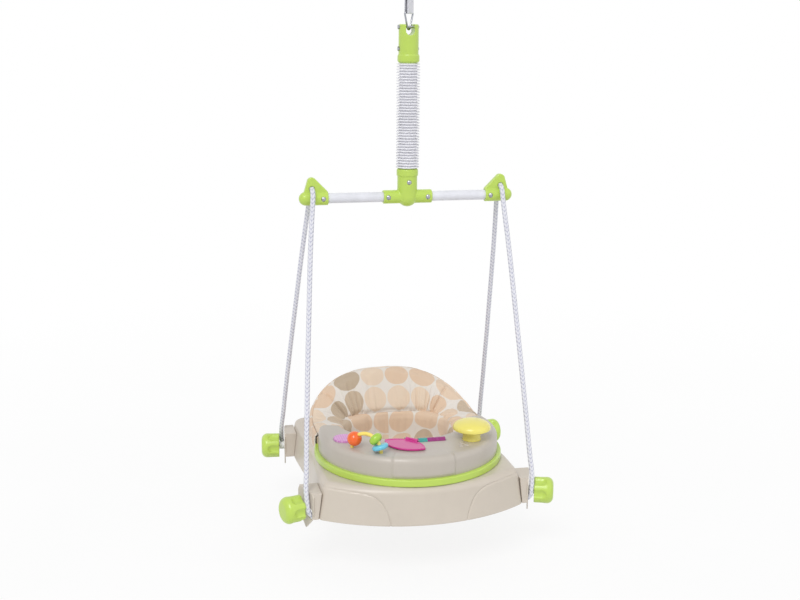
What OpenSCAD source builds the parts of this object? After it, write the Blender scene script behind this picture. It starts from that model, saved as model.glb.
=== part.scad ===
// Baby jumper frame: a ribbed spring column hangs from an eye plate and carries a crossbar.
// Two ropes run over the crossbar's end caps and hold a moulded base with a seat and a toy tray.
// Millimetres, +Z up, +X along the crossbar to the right, -Y to the front.
// The origin is the centre of the hook hole in the eye plate.

/* [Hanging eye] */
// Radius of the hole for the ceiling hook
eye_r = 10; // [8:0.5:14]
// Thickness of the steel eye plate
eye_plate_t = 5; // [3:0.5:6]
// Steel left round the hook hole
eye_rim = 7; // [5:0.5:10]
// Steel between the hook hole and the strap slot
eye_web = 3; // [2:0.5:6]
// Height of the strap slot
eye_slot_h = 4; // [3:0.5:8]
// Height of the bar under the strap slot
eye_bar_h = 3.5; // [2.5:0.5:6]
// Turn of the strap and its link from the front-to-back line
link_turn = 40; // [30:1:50]

/* [Strap and link] */
// Width of the webbing
strap_w = 27; // [20:1:28]
// Thickness of the webbing
strap_t = 1.6; // [1:0.1:2.4]
// Length of the webbing loop
strap_l = 38; // [30:1:60]
// Radius of the link's wire
link_wire_r = 2; // [1.5:0.1:2.2]
// Half the link's width at its top bar
link_half_w = 20; // [19:0.5:24]
// Height of the link between the wire centres
link_h = 36; // [30:1:50]
// Bend radius of the link's upper corners
link_corner_r = 4; // [3:0.5:6]
// Bend radius of the link's lower end
link_foot_r = 7.2; // [6.8:0.1:8]

/* [Spring column] */
// Radius of the bolts through the spring cap and the tee
bolt_r = 2.5; // [2:0.25:3]
// Radius of the spring cap
cap_r = 21.5; // [19:0.5:26]
// Length of the spring cap
cap_l = 80; // [70:1:110]
// Radius of the end collars
collar_r = 23.6; // [22:0.2:28]
// Length of the end collars
collar_l = 18; // [12:1:26]
// Depth of the top bolt below the cap's top
cap_pin_depth = 6; // [5:0.5:9]
// Half width of the cap's link slot
cap_slot_half = 9.8; // [9.6:0.1:11]
// Wall of the spring cap and the tee
column_wall = 4.8; // [3:0.1:6]
// Outer radius of the bellows ribs
rib_r = 25.4; // [22:0.2:30]
// Outer radius of the bellows between ribs
bellows_r = 18.8; // [17:0.2:21]
// Length of the bellows between the collars
bellows_l = 226; // [180:1:260]
// Number of ribs on the bellows
rib_count = 38; // [20:1:60]
// Wall of the bellows
bellows_wall = 0.9; // [0.6:0.1:1.2]
// Radius of the spring's wire
spring_wire_r = 1.8; // [1.2:0.1:2.2]
// Mean radius of the spring
spring_r = 12.2; // [11:0.1:13]
// Turns of the spring
spring_turns = 26; // [16:1:30]

/* [Crossbar] */
// Radius of the crossbar tube
bar_r = 11; // [9:0.5:12]
// Wall of the crossbar tube
bar_wall = 1.4; // [1:0.1:2]
// Half the distance between the rope eyes
eye_half_x = 211; // [205:1:217]
// Radius of the tee's upright body
tee_r = 21.8; // [19.6:0.2:23]
// Radius of the tee's side sleeves and of the end caps
sleeve_r = 14.8; // [13:0.1:15.2]
// Half the width of the tee over its sleeves
tee_half_w = 54; // [45:1:70]
// Depth of the bar below the top of the tee
tee_bar_drop = 62; // [58:1:75]
// Length of an end cap
end_cap_l = 63; // [56:1:75]
// Length of an end cap beyond the rope eye
end_cap_out = 28; // [25:1:34]
// Thickness of the upright fin on an end cap
fin_t = 14; // [10:1:18]
// Radius of the fin's rounded top
fin_top_r = 10; // [9:0.5:12]
// Height of the fin above the bar's centre
fin_h = 46; // [44:1:54]

/* [Ropes] */
// Radius of the rope
rope_r = 5.5; // [4:0.1:5.8]
// Height of the rope's eye above the bar's centre
rope_rise = 22; // [21.5:0.1:22.5]

/* [Base] */
// Drop from the crossbar to the corner knobs
base_drop = 646; // [630:1:660]
// Half the width of the base at its corners
base_half_w = 228; // [220:1:229]
// Reach of the base to the front
base_front = 256; // [245:1:275]
// Reach of the base to the rear
base_rear = 313; // [300:1:340]
// Radius of the base's front edge in plan
base_front_r = 385; // [340:1:460]
// Radius of the base's rear edge in plan
base_rear_r = 760; // [600:10:900]
// Radius of the base's corners in plan
base_corner_r = 18; // [12:1:30]
// How far the base draws in at its sides
base_waist = 8; // [0:1:16]
// Height of the base
base_h = 81; // [75:1:90]
// Wall of the base
base_wall = 3; // [2:0.25:4]
// Radius of the shoulder between the base's wall and deck
base_shoulder_r = 16; // [12:1:22]
// How far the base's wall leans in below its shoulder
base_draft = 8; // [4:1:10]
// Height of the knob centres above the base's lower edge
knob_lift = 19.5; // [15:0.5:28]
// Front knobs' distance in front of the crossbar
front_knob_y = 149; // [146:1:152]
// Rear knobs' distance behind the crossbar
rear_knob_y = 246; // [243:1:249]
// Radius of the seat opening
opening_r = 152; // [145:1:158]
// Seat opening's distance behind the crossbar
seat_y = 45; // [38:1:52]

/* [Corner brackets and knobs] */
// Thickness of the flange plate
plate_t = 3; // [2:0.25:4]
// Radius of the flange plate
plate_r = 36; // [34:0.5:42]
// Radius of the flange plate's upper corners
plate_corner_r = 14; // [8:1:16]
// Depth of the flange plate's lower tip below the knob
plate_tip = 48; // [44:1:60]
// Reach of the front brackets' outer face from the base's side
front_arm_l = 24; // [23.75:0.25:24.25]
// Reach of the rear brackets' outer face from the base's side
rear_arm_l = 19.5; // [19.25:0.25:19.75]
// Turn of the front plates and knobs towards the front
front_splay = 19; // [18.5:0.5:19.5]
// Turn of the rear plates and knobs towards the rear
rear_splay = 7; // [6.5:0.5:7.5]
// Half the width of the bracket's arm
arm_half_w = 33; // [31.5:0.5:34]
// Height of the arm above the knob's centre
arm_top = 40; // [30:1:41]
// Wall of the bracket's arm
arm_wall = 2.5; // [2:0.25:3]
// Radius of a knob
knob_r = 29.5; // [27:0.5:33]
// Length of a knob
knob_l = 43; // [38:1:54]
// Number of finger scoops round a knob
scoop_count = 6; // [4:1:8]
// Radius of a finger scoop
scoop_r = 15; // [10:0.5:18]
// Depth of a finger scoop
scoop_depth = 5; // [3:0.5:7]
// Radius of the knob bolts
knob_bolt_r = 4; // [3:0.25:5]
// Radius of the spacer on a knob bolt
spacer_r = 9; // [7:0.5:12]

/* [Tray] */
// Outer radius of the tray
tray_r = 202.6; // [196:0.2:206]
// Height of the tray above the deck
tray_h = 61; // [54:1:68]
// Wall of the tray
tray_wall = 3; // [2:0.25:3.5]
// Radius of the tray's upper edge
tray_edge_r = 14; // [8:1:18]
// Tray centre's distance in front of the crossbar
tray_y = 30; // [26:1:34]
// How far the tray reaches behind the crossbar
tray_back = 28; // [20:1:34]
// Radial thickness of the green trim
trim_t = 9; // [6:0.5:12]
// Height of the green trim
trim_h = 16; // [12:1:20]
// Turn of the trim past the side line
trim_past = 16; // [8:1:17]
// How far the middle panel stands proud of the tray
brow_out = 2.5; // [1:0.5:4]
// Half the turn that the middle panel covers
brow_half = 20; // [12:1:26]

/* [Seat] */
// Thickness of the seat ring
ring_t = 4; // [3:0.5:6]
// Height of the seat ring
ring_h = 32; // [24:1:40]
// Depth of the seat ring below the deck
ring_down = 8; // [4:1:12]
// Depth of the sling's bottom below its rim
sling_h = 147; // [120:1:170]
// Thickness of the sling
sling_t = 8; // [6:0.5:10]
// Depth of the sling's gathers
gather = 2.5; // [1:0.25:3.5]
// Number of gathers round the sling
gather_count = 16; // [8:1:16]
// Radius of a leg hole
leg_r = 46; // [40:1:50]
// Half the distance between the leg holes
leg_half_x = 68; // [64:1:72]
// Leg holes' distance in front of the sling's middle
leg_y = 10; // [0:1:20]
// Half the width of the backrest at the middle of its pad
back_half_w = 163; // [160:1:165]
// Reach of the backrest behind the seat's middle
back_reach = 178; // [172:1:184]
// How far the backrest leans out between its foot and its top
back_lean = 60; // [50:1:62]
// Thickness of the backrest pad
back_pad_t = 26; // [20:1:27]
// Height of the backrest above the deck
back_h = 122.5; // [115:0.5:130]
// Height of the backrest at its front ends
back_end_h = 38; // [37:0.5:44]
// Thickness of the stiffener in the backrest
board_t = 2.5; // [2:0.25:3]
// Thickness of the backrest's rear cover
cover_t = 3; // [2:0.25:3.5]

/* [Toys] */
// Radius of the mushroom's cap
mushroom_r = 42; // [36:1:46]
// Thickness of the mushroom's cap
mushroom_cap_h = 28; // [22:1:34]
// Radius of the mushroom's stem
stem_r = 21; // [16:0.5:25]
// Height of the mushroom's stem
stem_h = 17.5; // [16:0.5:28]
// Radius of the mushroom's axle
axle_r = 5; // [4:0.25:6]
// Radius of the bead arch
arch_r = 36; // [35.5:0.5:38]
// Radius of the bead arch's wire
arch_wire_r = 4; // [3:0.1:4.4]
// Radius of the ball bead
ball_r = 16; // [13:0.25:16.25]
// Radius of the oval bead
oval_r = 15; // [12:0.25:15.5]
// Thickness of the oval bead
oval_t = 18; // [14:0.25:18.25]
// Radius of the disc bead
disc_bead_r = 18; // [14:0.25:18.5]
// Thickness of the disc bead
disc_bead_t = 11; // [8:0.25:11.25]
// Length of the leaf flap
leaf_l = 104; // [96:1:106]
// Width of the leaf flap
leaf_w = 60; // [54:1:61]
// Thickness of the leaf flap
leaf_t = 4; // [3:0.5:6]
// Radius of the roller
roller_r = 9; // [8:0.5:10]
// Length of the roller
roller_l = 60; // [48:1:61]
// Radius of the push disc
push_r = 24; // [20:0.5:25]
// Height of the push disc above the tray
push_h = 4; // [3:0.5:6]
// Travel of the push disc
push_travel = 3; // [2:0.5:3.5]

/* [Hidden] */
$fn = 48;

// Colours
lime = [0.73, 0.84, 0.36];
beige = [0.80, 0.76, 0.71];
tray_grey = [0.77, 0.74, 0.70];
white = [0.90, 0.90, 0.94];
steel = [0.72, 0.73, 0.75];
cloth = [0.89, 0.82, 0.74];
sunny = [0.91, 0.87, 0.43];
arch_yellow = [0.96, 0.76, 0.16];
orange = [0.96, 0.41, 0.10];
leaf_green = [0.65, 0.82, 0.24];
sky = [0.41, 0.78, 0.88];
magenta = [0.80, 0.20, 0.55];
plum = [0.59, 0.16, 0.47];
lilac = [0.86, 0.59, 0.84];

// Clearances: between seated faces, in running bores, and past the far side of a cut
seat_gap = 0.3;
run_gap = 0.05;
overrun = 1;
// Extra room where the sides of a faceted opening stand inside its corners
facet_gap = 0.7;

// Heights down the column
eye_bar_top = -(eye_r + eye_web + eye_slot_h);
eye_bar_foot = eye_bar_top - eye_bar_h;
strap_top = eye_bar_top + seat_gap + strap_t;
strap_foot = strap_top - strap_l;
link_top_z = strap_foot + strap_t + seat_gap + link_wire_r;
link_foot_z = link_top_z - link_h;
cap_pin_z = link_foot_z + link_wire_r + 2 * seat_gap + bolt_r;
cap_top_z = cap_pin_z + cap_pin_depth;
cap_foot_z = cap_top_z - cap_l;
tee_top_z = cap_foot_z - bellows_l;
bar_z = tee_top_z - tee_bar_drop;
knob_z = bar_z - base_drop;
base_z = knob_z - knob_lift;
deck_z = base_z + base_h;
tray_z = deck_z + tray_h;

// Spring column details
cap_edge_r = 3;
collar_chamfer = 3;
cavity_r = cap_r - column_wall;
cap_roof = 30;
cap_bolt_depth = 51;
cap_bolt_z = cap_top_z - cap_bolt_depth;
tee_bolt_depth = 29;
tee_bolt_z = tee_top_z - tee_bolt_depth;
tee_cavity_depth = 44;
spot_depth = 1.5;
head_r = 5.5;
head_h = 3;
head_clear = 0.5;
nut_r = 4.6;
nut_h = 4;
nut_sides = 6;
spring_sides = 6;
spring_steps = 8;
plug_r = spring_r * cos(180 / spring_steps) - spring_wire_r - seat_gap;
plug_l = 48;
plug_past_bolt = 12;
coil_grip = 26;
cuff_l = 10;
cuff_r = cavity_r - seat_gap;
rib_tip_share = 0.16;
rib_flank_share = 0.2;
rib_pitch = bellows_l / rib_count;

// Crossbar details
bar_past_eye = 21;
bar_half_l = eye_half_x + bar_past_eye;
screw_r = 2;
screw_l = 8;
tee_screw_in = 10;
cap_screw_in = 11;
eye_wire_gap = 0.5;

// Corner places as [side, y] with side -1 for left, and their plates' faces, turns and rope sides
corners = [[-1, -front_knob_y], [1, -front_knob_y], [-1, rear_knob_y], [1, rear_knob_y]];
front_plate_x = base_half_w + front_arm_l;
rear_plate_x = base_half_w + rear_arm_l;
plate_xs = [front_plate_x, front_plate_x, rear_plate_x, rear_plate_x];
plate_turns = [-front_splay, -front_splay, rear_splay, rear_splay];
rope_ends = [-1, -1, 1, 1];

// Bracket details
bolt_head_r = 8;
bolt_head_h = 4.5;
rope_hole_off = 23;
rope_hole_r = rope_r + 2 * eye_wire_gap;
rope_hole_top = 2;
rope_hole_foot = 8;
knob_gap = 2 * rope_r + 3 * eye_wire_gap;
knob_edge_r = 14;
knob_bore_l = 30;
scoop_past = 26;
bracket_screw_y = 12;
bracket_screw_up = 18;
bracket_screw_l = 9;
arm_root_t = 3;

// Tray details
tray_screw_r = 2.5;
tray_screw_turn = 150;
tray_screw_in = 20.6;
tray_screw_out = tray_r - tray_screw_in;
boss_r = 6;
boss_l = 16;
shank_l = 14;
brow_foot = 22;
brow_head = 12;

// Toy places by their turn from the front and their share of the way from the seat opening to the rim
function tray_near(turn) = let (off = seat_y + tray_y, b = off * cos(turn))
    sqrt(b * b + opening_r * opening_r - off * off) - b;
function toy_at(turn, reach) = [reach * sin(turn), -tray_y - reach * cos(turn)];
function toy_spot(turn, share) = toy_at(turn, tray_near(turn) + share * (tray_r - tray_near(turn)));
mushroom_place_turn = 49.5943;
mushroom_place_share = 0.60402;
arch_place_turn = -43.3767;
arch_place_share = 0.75572;
leaf_place_turn = -15.8192;
leaf_place_share = 0.37268;
push_place_turn = -72.1213;
push_place_share = 0.56539;
roller_place_turn = 19.9325;
roller_in = 17.472;

// Toy places and small parts
mushroom_at = toy_spot(mushroom_place_turn, mushroom_place_share);
arch_at = toy_spot(arch_place_turn, arch_place_share);
arch_dir = [0.75, -0.66];
arch_lift = 1;
arch_root = 5;
ball_turn = 33;
oval_turn = 129;
disc_turn = 160;
bead_gap = 0.3;
leaf_at = toy_spot(leaf_place_turn, leaf_place_share);
leaf_turn = -44;
leaf_pin_r = 1.5;
leaf_lug_t = 4;
leaf_lug_r = 4;
leaf_knuckle_l = 30;
leaf_rise = 2;
leaf_rim = 3;
leaf_dish = 1.2;
roller_at = toy_at(roller_place_turn, tray_near(roller_place_turn) + roller_in);
roller_rise = 1;
roller_axle_r = 2.5;
roller_gap = 2;
bearing_t = 4;
bearing_drop = 9;
push_at = toy_spot(push_place_turn, push_place_share);
push_gap = 0.4;
push_t = 8;
push_cup_wall = 2;
push_cup_depth = 22;
push_spring_r = 12;
push_spring_wire_r = 1;
push_spring_turns = 4;
axle_l = 34;
axle_root = 10;
crown_share = 0.68;
relief_offs = [[-33, -37], [-21, -33], [-28, -24]];
relief_at = [for (p = relief_offs) mushroom_at + p];
relief_r = 6;
relief_rise = 2.5;

// Sling section as shares of the rim radius and of the sling's height
sling_r_shares = [1, 0.965, 0.9, 0.73, 0.42];
sling_z_shares = [0, 0.32, 0.66, 0.89, 0.985];
sling_steps = 96;
// Backrest pad: seam places and depth as shares, and its corner roundness
seam_shares = [-0.5, 0, 0.5];
seam_depth_share = 0.3;
seam_width_share = 0.05;
back_steps = 40;
back_sides = 14;
plan_power = 0.55;
crown_power = 0.75;
rise_power = 0.55;
back_flat_share = 0.14;
back_low_share = 0.79;
back_touch_share = 0.84;

// Rope route from the front corner, over the right end cap, to the rear corner
rope_route = [
    [236.5, -168, -1104.5], [238, -168.5, -1103], [244, -170.5, -1098.5], [248.5, -172, -1092.5],
    [250.5, -172.5, -1083], [253, -165.5, -1044], [250.5, -156, -1007], [247, -139, -941],
    [243, -123, -874], [239, -107, -807], [234.5, -91, -740], [230, -75.5, -673],
    [225.5, -59.5, -606], [220.5, -43, -538], [215, -29, -478], [212, -22.5, -445],
    [211.2, -20.5, -433], [211, -15, -425.5], [211, -8, -421.5], [211, 0, -420],
    [211, 8, -421.5], [211, 15, -425.5], [211.2, 20.5, -433], [212, 23.5, -443],
    [215, 36, -477], [220.5, 61, -542], [225.5, 86.5, -608], [230, 112, -674],
    [234.5, 138, -741], [239, 163.5, -807], [243, 189.5, -874], [247, 215, -941],
    [250.5, 240.5, -1007], [253, 255, -1044], [251, 269.5, -1083], [248.5, 269.5, -1092.5],
    [244, 269, -1098.5], [238, 268, -1103], [236.5, 268, -1104.5]];
// Plate faces that the route is drawn for, front and rear; its lower runs move with the plates
route_faces = [252, 247.5];
rope_path = [for (p = rope_route)
    let (share = min(1, max(0, (bar_z - p.z) / (base_drop - rope_hole_foot))),
        move = p.y < 0 ? front_plate_x - route_faces[0] : rear_plate_x - route_faces[1])
    [p.x + share * move, p.y, p.z]];
rope_sides = 10;
knot_share = 1.3;
knot_rings = 2;

// Shape functions
function unit(v) = v / norm(v);
function sgn_pow(v, p) = sign(v) * pow(abs(v), p);
function arc(c, r, a0, a1, n) = [for (i = [0:n]) let (a = a0 + (a1 - a0) * i / n) c + r * [cos(a), sin(a)]];
function tangent(p, i) = unit(p[min(i + 1, len(p) - 1)] - p[max(i - 1, 0)]);
function normals(p, i, n, acc) = i == len(p) ? acc :
    let (t = tangent(p, i), m = unit(n - (n * t) * t)) normals(p, i + 1, m, concat(acc, [m]));
function quad(a, b, c, d) = [[a, c, b], [a, d, c]];
function band_faces(n, j, k) = [for (i = [0:n - 1])
    each quad(j * n + i, j * n + (i + 1) % n, k * n + (i + 1) % n, k * n + i)];
function fan(s, n, turn) = [for (i = [1:n - 2]) turn ? [s, s + i, s + i + 1] : [s, s + i + 1, s + i]];
function tube_points(p, radii, sides, start) = let (ns = normals(p, 0, start, [])) [for (i = [0:len(p) - 1])
    let (b = cross(tangent(p, i), ns[i])) for (k = [0:sides - 1])
    let (a = 360 * k / sides) p[i] + radii[i] * (cos(a) * ns[i] + sin(a) * b)];

// One closed tube along points, with its own radius at each point
module tube(p, radii, sides, start) {
    m = len(p);
    polyhedron(points = tube_points(p, radii, sides, start), faces = concat(fan(0, sides, true),
        [for (j = [0:m - 2]) each band_faces(sides, j, j + 1)], fan((m - 1) * sides, sides, false)));
}

// A shell that closes on itself, from rings of equal length
module ring_loft(rings) {
    n = len(rings[0]);
    m = len(rings);
    polyhedron(points = [for (r = rings) each r], faces = [for (j = [0:m - 1]) each band_faces(n, j, (j + 1) % m)]);
}

// A solid between two end sections, from sections of equal length
module end_loft(sections) {
    n = len(sections[0]);
    m = len(sections);
    polyhedron(points = [for (s = sections) each s], faces = concat(fan(0, n, true),
        [for (j = [0:m - 2]) each band_faces(n, j, j + 1)], fan((m - 1) * n, n, false)));
}

module rod_x(x0, x1, r) translate([x0, 0, 0]) rotate([0, 90, 0]) cylinder(r = r, h = x1 - x0);
module rod_y(y0, y1, r) translate([0, y0, 0]) rotate([-90, 0, 0]) cylinder(r = r, h = y1 - y0);

// Dome head and shank along +Z, the seat of the head at zero
module dome_screw(head, rise, shank, length) {
    ball = (head * head + rise * rise) / (2 * rise);
    intersection() {
        translate([0, 0, rise - ball]) sphere(r = ball);
        cylinder(r = head, h = rise);
    }
    translate([0, 0, -length]) cylinder(r = shank, h = length);
}

// Bolt along +Z with a dome head at the far end of its grip and a nut at the near end
module grip_bolt(grip, shank) {
    translate([0, 0, grip / 2]) dome_screw(head_r, head_h, shank, grip + nut_h);
    translate([0, 0, -grip / 2 - nut_h]) cylinder(r = nut_r, h = nut_h, $fn = nut_sides);
}

// Hanging eye, strap and link, in the plane of the strap
module turned() rotate([0, 0, -90 - link_turn]) rotate([90, 0, 0]) children();

module eye_plate() color(steel) turned() {
    plate_w = strap_w + 2 * eye_web;
    translate([0, 0, -eye_plate_t / 2]) difference() {
        union() {
            cylinder(r = eye_r + eye_rim, h = eye_plate_t);
            translate([-plate_w / 2, eye_bar_foot, 0]) cube([plate_w, -eye_bar_foot - eye_r / 2, eye_plate_t]);
        }
        translate([0, 0, -overrun]) cylinder(r = eye_r, h = eye_plate_t + 2 * overrun);
        translate([-strap_w / 2 - seat_gap, eye_bar_top, -overrun])
            cube([strap_w + 2 * seat_gap, eye_slot_h, eye_plate_t + 2 * overrun]);
    }
}

module hanging_strap() color(white) turned() {
    inner = eye_plate_t / 2 + seat_gap;
    difference() {
        translate([-strap_w / 2, strap_foot, -inner - strap_t]) cube([strap_w, strap_l, 2 * (inner + strap_t)]);
        translate([-strap_w / 2 - overrun, strap_foot + strap_t, -inner])
            cube([strap_w + 2 * overrun, strap_l - 2 * strap_t, 2 * inner]);
    }
}

// Wire bend in the strap's plane, from turn a0 to a1 about centre c
module wire_bend(c, r, a0, a1) translate(c) rotate([0, 0, a0])
    rotate_extrude(angle = a1 - a0) translate([r, 0]) circle(r = link_wire_r);

// Straight wire between two bends, with a weld bead at each end
module wire_run(a, b) {
    d = b - a;
    translate(a) rotate([0, 0, atan2(d.y, d.x)]) {
        rod_x(0, norm(d), link_wire_r);
        for (x = [0, norm(d)]) translate([x, 0, 0]) sphere(r = link_wire_r + run_gap);
    }
}

module strap_link() color(steel) turned() {
    foot = [0, link_foot_z + link_foot_r];
    corner = [link_half_w - link_wire_r - link_corner_r, link_top_z - link_corner_r];
    lean = corner - foot;
    turn = atan2(lean.y, lean.x) - acos((link_foot_r - link_corner_r) / norm(lean));
    out = [cos(turn), sin(turn)];
    wire_bend(foot, link_foot_r, 180 - turn, 360 + turn);
    for (side = [0, 1]) mirror([side, 0, 0]) {
        wire_run(foot + link_foot_r * out, corner + link_corner_r * out);
        wire_bend(corner, link_corner_r, turn, 90);
    }
    wire_run([-corner.x, link_top_z], [corner.x, link_top_z]);
}

// Collar with chamfered rims, standing on zero
module collar() rotate_extrude() polygon([[0, 0], [collar_r - collar_chamfer, 0], [collar_r, collar_chamfer],
    [collar_r, collar_l - collar_chamfer], [collar_r - collar_chamfer, collar_l], [0, collar_l]]);

// Seat for a bolt head or nut on a round wall, along +X
module spot_face(wall_r) rod_x(wall_r - spot_depth, collar_r + overrun, head_r + head_clear);

module spring_cap() color(lime) difference() {
    union() {
        translate([0, 0, cap_foot_z]) cylinder(r = cap_r, h = cap_l - cap_edge_r);
        translate([0, 0, cap_top_z - cap_edge_r]) rotate_extrude() translate([cap_r - cap_edge_r, 0])
            intersection() {
                circle(r = cap_edge_r);
                square(cap_edge_r);
            }
        translate([0, 0, cap_top_z - cap_edge_r]) cylinder(r = cap_r - cap_edge_r, h = cap_edge_r);
        translate([0, 0, cap_foot_z]) collar();
    }
    translate([0, 0, cap_foot_z - overrun]) cylinder(r = cavity_r, h = cap_l - cap_roof + overrun);
    translate([0, 0, cap_pin_z - link_foot_r]) rod_y(-cap_r - overrun, cap_r + overrun, cap_slot_half);
    translate([-cap_slot_half, -cap_r - overrun, cap_pin_z - link_foot_r])
        cube([2 * cap_slot_half, 2 * (cap_r + overrun), cap_pin_depth + link_foot_r + overrun]);
    for (z = [cap_pin_z, cap_bolt_z]) translate([0, 0, z]) {
        rod_x(-collar_r, collar_r, bolt_r + run_gap);
        for (side = [0, 1]) mirror([side, 0, 0]) spot_face(cap_r);
    }
}

module cap_bolts() color(steel) for (z = [cap_pin_z, cap_bolt_z]) translate([0, 0, z])
    rotate([0, 90, 0]) grip_bolt(2 * (cap_r - spot_depth), bolt_r);

// Plug that the end coils grip, its bolt hole at zero along the bolt's turn
module spring_plug(bolt_turn) difference() {
    translate([0, 0, plug_past_bolt - plug_l]) cylinder(r = plug_r, h = plug_l);
    rotate([0, 0, bolt_turn]) rod_x(-collar_r, collar_r, bolt_r + run_gap);
}

module upper_spring_plug() color(white) translate([0, 0, cap_bolt_z]) spring_plug(0);

module lower_spring_plug() color(white) translate([0, 0, tee_bolt_z]) mirror([0, 0, 1]) spring_plug(90);

spring_top_z = cap_bolt_z + plug_past_bolt - plug_l + coil_grip;
spring_foot_z = tee_bolt_z - plug_past_bolt + plug_l - coil_grip;
spring_rise = (spring_top_z - spring_foot_z) / spring_turns;

function coil(r, z0, rise, turns, steps) = [for (i = [0:turns * steps])
    let (a = 360 * i / steps) [r * cos(a), r * sin(a), z0 + rise * i / steps]];

module spring() color(steel) {
    path = coil(spring_r, spring_foot_z, spring_rise, spring_turns, spring_steps);
    tube(path, [for (p = path) spring_wire_r], spring_sides, [1, 0, 0]);
}
echo(spring_least_gap = spring_rise - 2 * spring_wire_r);

// Half section of one rib, from the root below it to the root above
function rib_line(z, root, tip, grow) = let (t = rib_pitch * rib_tip_share / 2 + grow,
    f = t + rib_pitch * rib_flank_share) [[root, z - f], [tip, z - t], [tip, z + t], [root, z + f]];

module bellows() color(white) {
    low = tee_top_z;
    outer = [for (i = [0:rib_count - 1]) each rib_line(low + (i + 0.5) * rib_pitch, bellows_r, rib_r, 0)];
    inner = [for (i = [0:rib_count - 1]) each rib_line(low + (i + 0.5) * rib_pitch,
        bellows_r - bellows_wall, rib_r - bellows_wall, -rib_pitch * rib_tip_share / 4)];
    bore = bellows_r - bellows_wall;
    rotate_extrude() polygon(concat([[bore, low], [bellows_r, low]], outer,
        [[bellows_r, cap_foot_z], [cuff_r, cap_foot_z], [cuff_r, cap_foot_z + cuff_l],
        [cuff_r - bellows_wall, cap_foot_z + cuff_l], [cuff_r - bellows_wall, cap_foot_z - bellows_wall],
        [bore, cap_foot_z - bellows_wall]],
        [for (i = [len(inner) - 1:-1:0]) inner[i]]));
}

module tee_joint() color(lime) difference() {
    union() {
        translate([0, 0, tee_top_z - collar_l]) collar();
        translate([0, 0, bar_z]) cylinder(r = tee_r, h = tee_bar_drop - collar_l / 2);
        translate([0, 0, bar_z]) sphere(r = tee_r);
        translate([0, 0, bar_z]) rod_x(-tee_half_w, tee_half_w, sleeve_r);
    }
    translate([0, 0, tee_top_z - tee_cavity_depth]) cylinder(r = cavity_r, h = tee_cavity_depth + overrun);
    translate([0, 0, bar_z]) rod_x(-tee_half_w - overrun, tee_half_w + overrun, bar_r + run_gap);
    translate([0, 0, tee_bolt_z]) {
        rod_y(-collar_r, collar_r, bolt_r + run_gap);
        for (turn = [-90, 90]) rotate([0, 0, turn]) spot_face(tee_r);
    }
    for (side = [-1, 1]) translate([side * (tee_half_w - tee_screw_in), 0, bar_z]) screw_seat();
}

// Flat seat and hole in the front of a sleeve for a screw
module screw_seat() {
    rod_y(-sleeve_r - overrun, 0, screw_r);
    rod_y(-sleeve_r - overrun, -sleeve_r + spot_depth, head_r + head_clear);
}

module tee_bolt() color(steel) translate([0, 0, tee_bolt_z]) rotate([90, 0, 0])
    grip_bolt(2 * (tee_r - spot_depth), bolt_r);

// Places of the four screws that hold the bar in the tee and the end caps
bar_screw_xs = [-(eye_half_x + end_cap_out - end_cap_l + cap_screw_in), -(tee_half_w - tee_screw_in),
    tee_half_w - tee_screw_in, eye_half_x + end_cap_out - end_cap_l + cap_screw_in];

module crossbar() color(white) translate([0, 0, bar_z]) difference() {
    rod_x(-bar_half_l, bar_half_l, bar_r);
    rod_x(-bar_half_l - overrun, bar_half_l + overrun, bar_r - bar_wall);
    for (x = bar_screw_xs) translate([x, 0, 0]) rod_y(-sleeve_r, 0, screw_r);
}

module bar_screws() color(steel) for (x = bar_screw_xs) translate([x, -sleeve_r + spot_depth, bar_z])
    rotate([90, 0, 0]) dome_screw(head_r, head_h, screw_r, screw_l);

// Right end cap: sleeve with a domed end, upright fin and a curved rope eye round the bar's axis
module end_cap() translate([0, 0, bar_z]) difference() {
    outer = eye_half_x + end_cap_out;
    inner = outer - end_cap_l;
    top = [eye_half_x, fin_h - fin_top_r];
    union() {
        rod_x(inner, outer - sleeve_r, sleeve_r);
        translate([outer - sleeve_r, 0, 0]) sphere(r = sleeve_r);
        rotate([90, 0, 0]) translate([0, 0, -fin_t / 2]) linear_extrude(fin_t) union() {
            translate(top) circle(r = fin_top_r);
            polygon([[inner, 0], [inner, sleeve_r], fin_side(top, [inner, sleeve_r], 1),
                fin_side(top, [outer, 0], -1), [outer - fin_t / 2, 0]]);
        }
    }
    rod_x(inner - overrun, bar_half_l + run_gap, bar_r + run_gap);
    rotate([0, 90, 0]) translate([0, 0, eye_half_x]) rotate_extrude()
        translate([rope_rise, 0]) circle(r = rope_r + eye_wire_gap);
    translate([inner + cap_screw_in, 0, 0]) screw_seat();
}

// Point on the fin's top circle where the straight side from p touches it
function fin_side(c, p, side) = let (d = p - c, b = atan2(d.y, d.x) - side * acos(fin_top_r / norm(d)))
    c + fin_top_r * [cos(b), sin(b)];

module right_end_cap() color(lime) end_cap();
module left_end_cap() color(lime) mirror([1, 0, 0]) end_cap();

module rope() {
    last = len(rope_path) - 1;
    tube(rope_path, [for (i = [0:last]) min(i, last - i) < knot_rings ? rope_r * knot_share : rope_r],
        rope_sides, [0, 1, 0]);
}

module right_rope() color(white) rope();
module left_rope() color(white) mirror([1, 0, 0]) rope();

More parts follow.
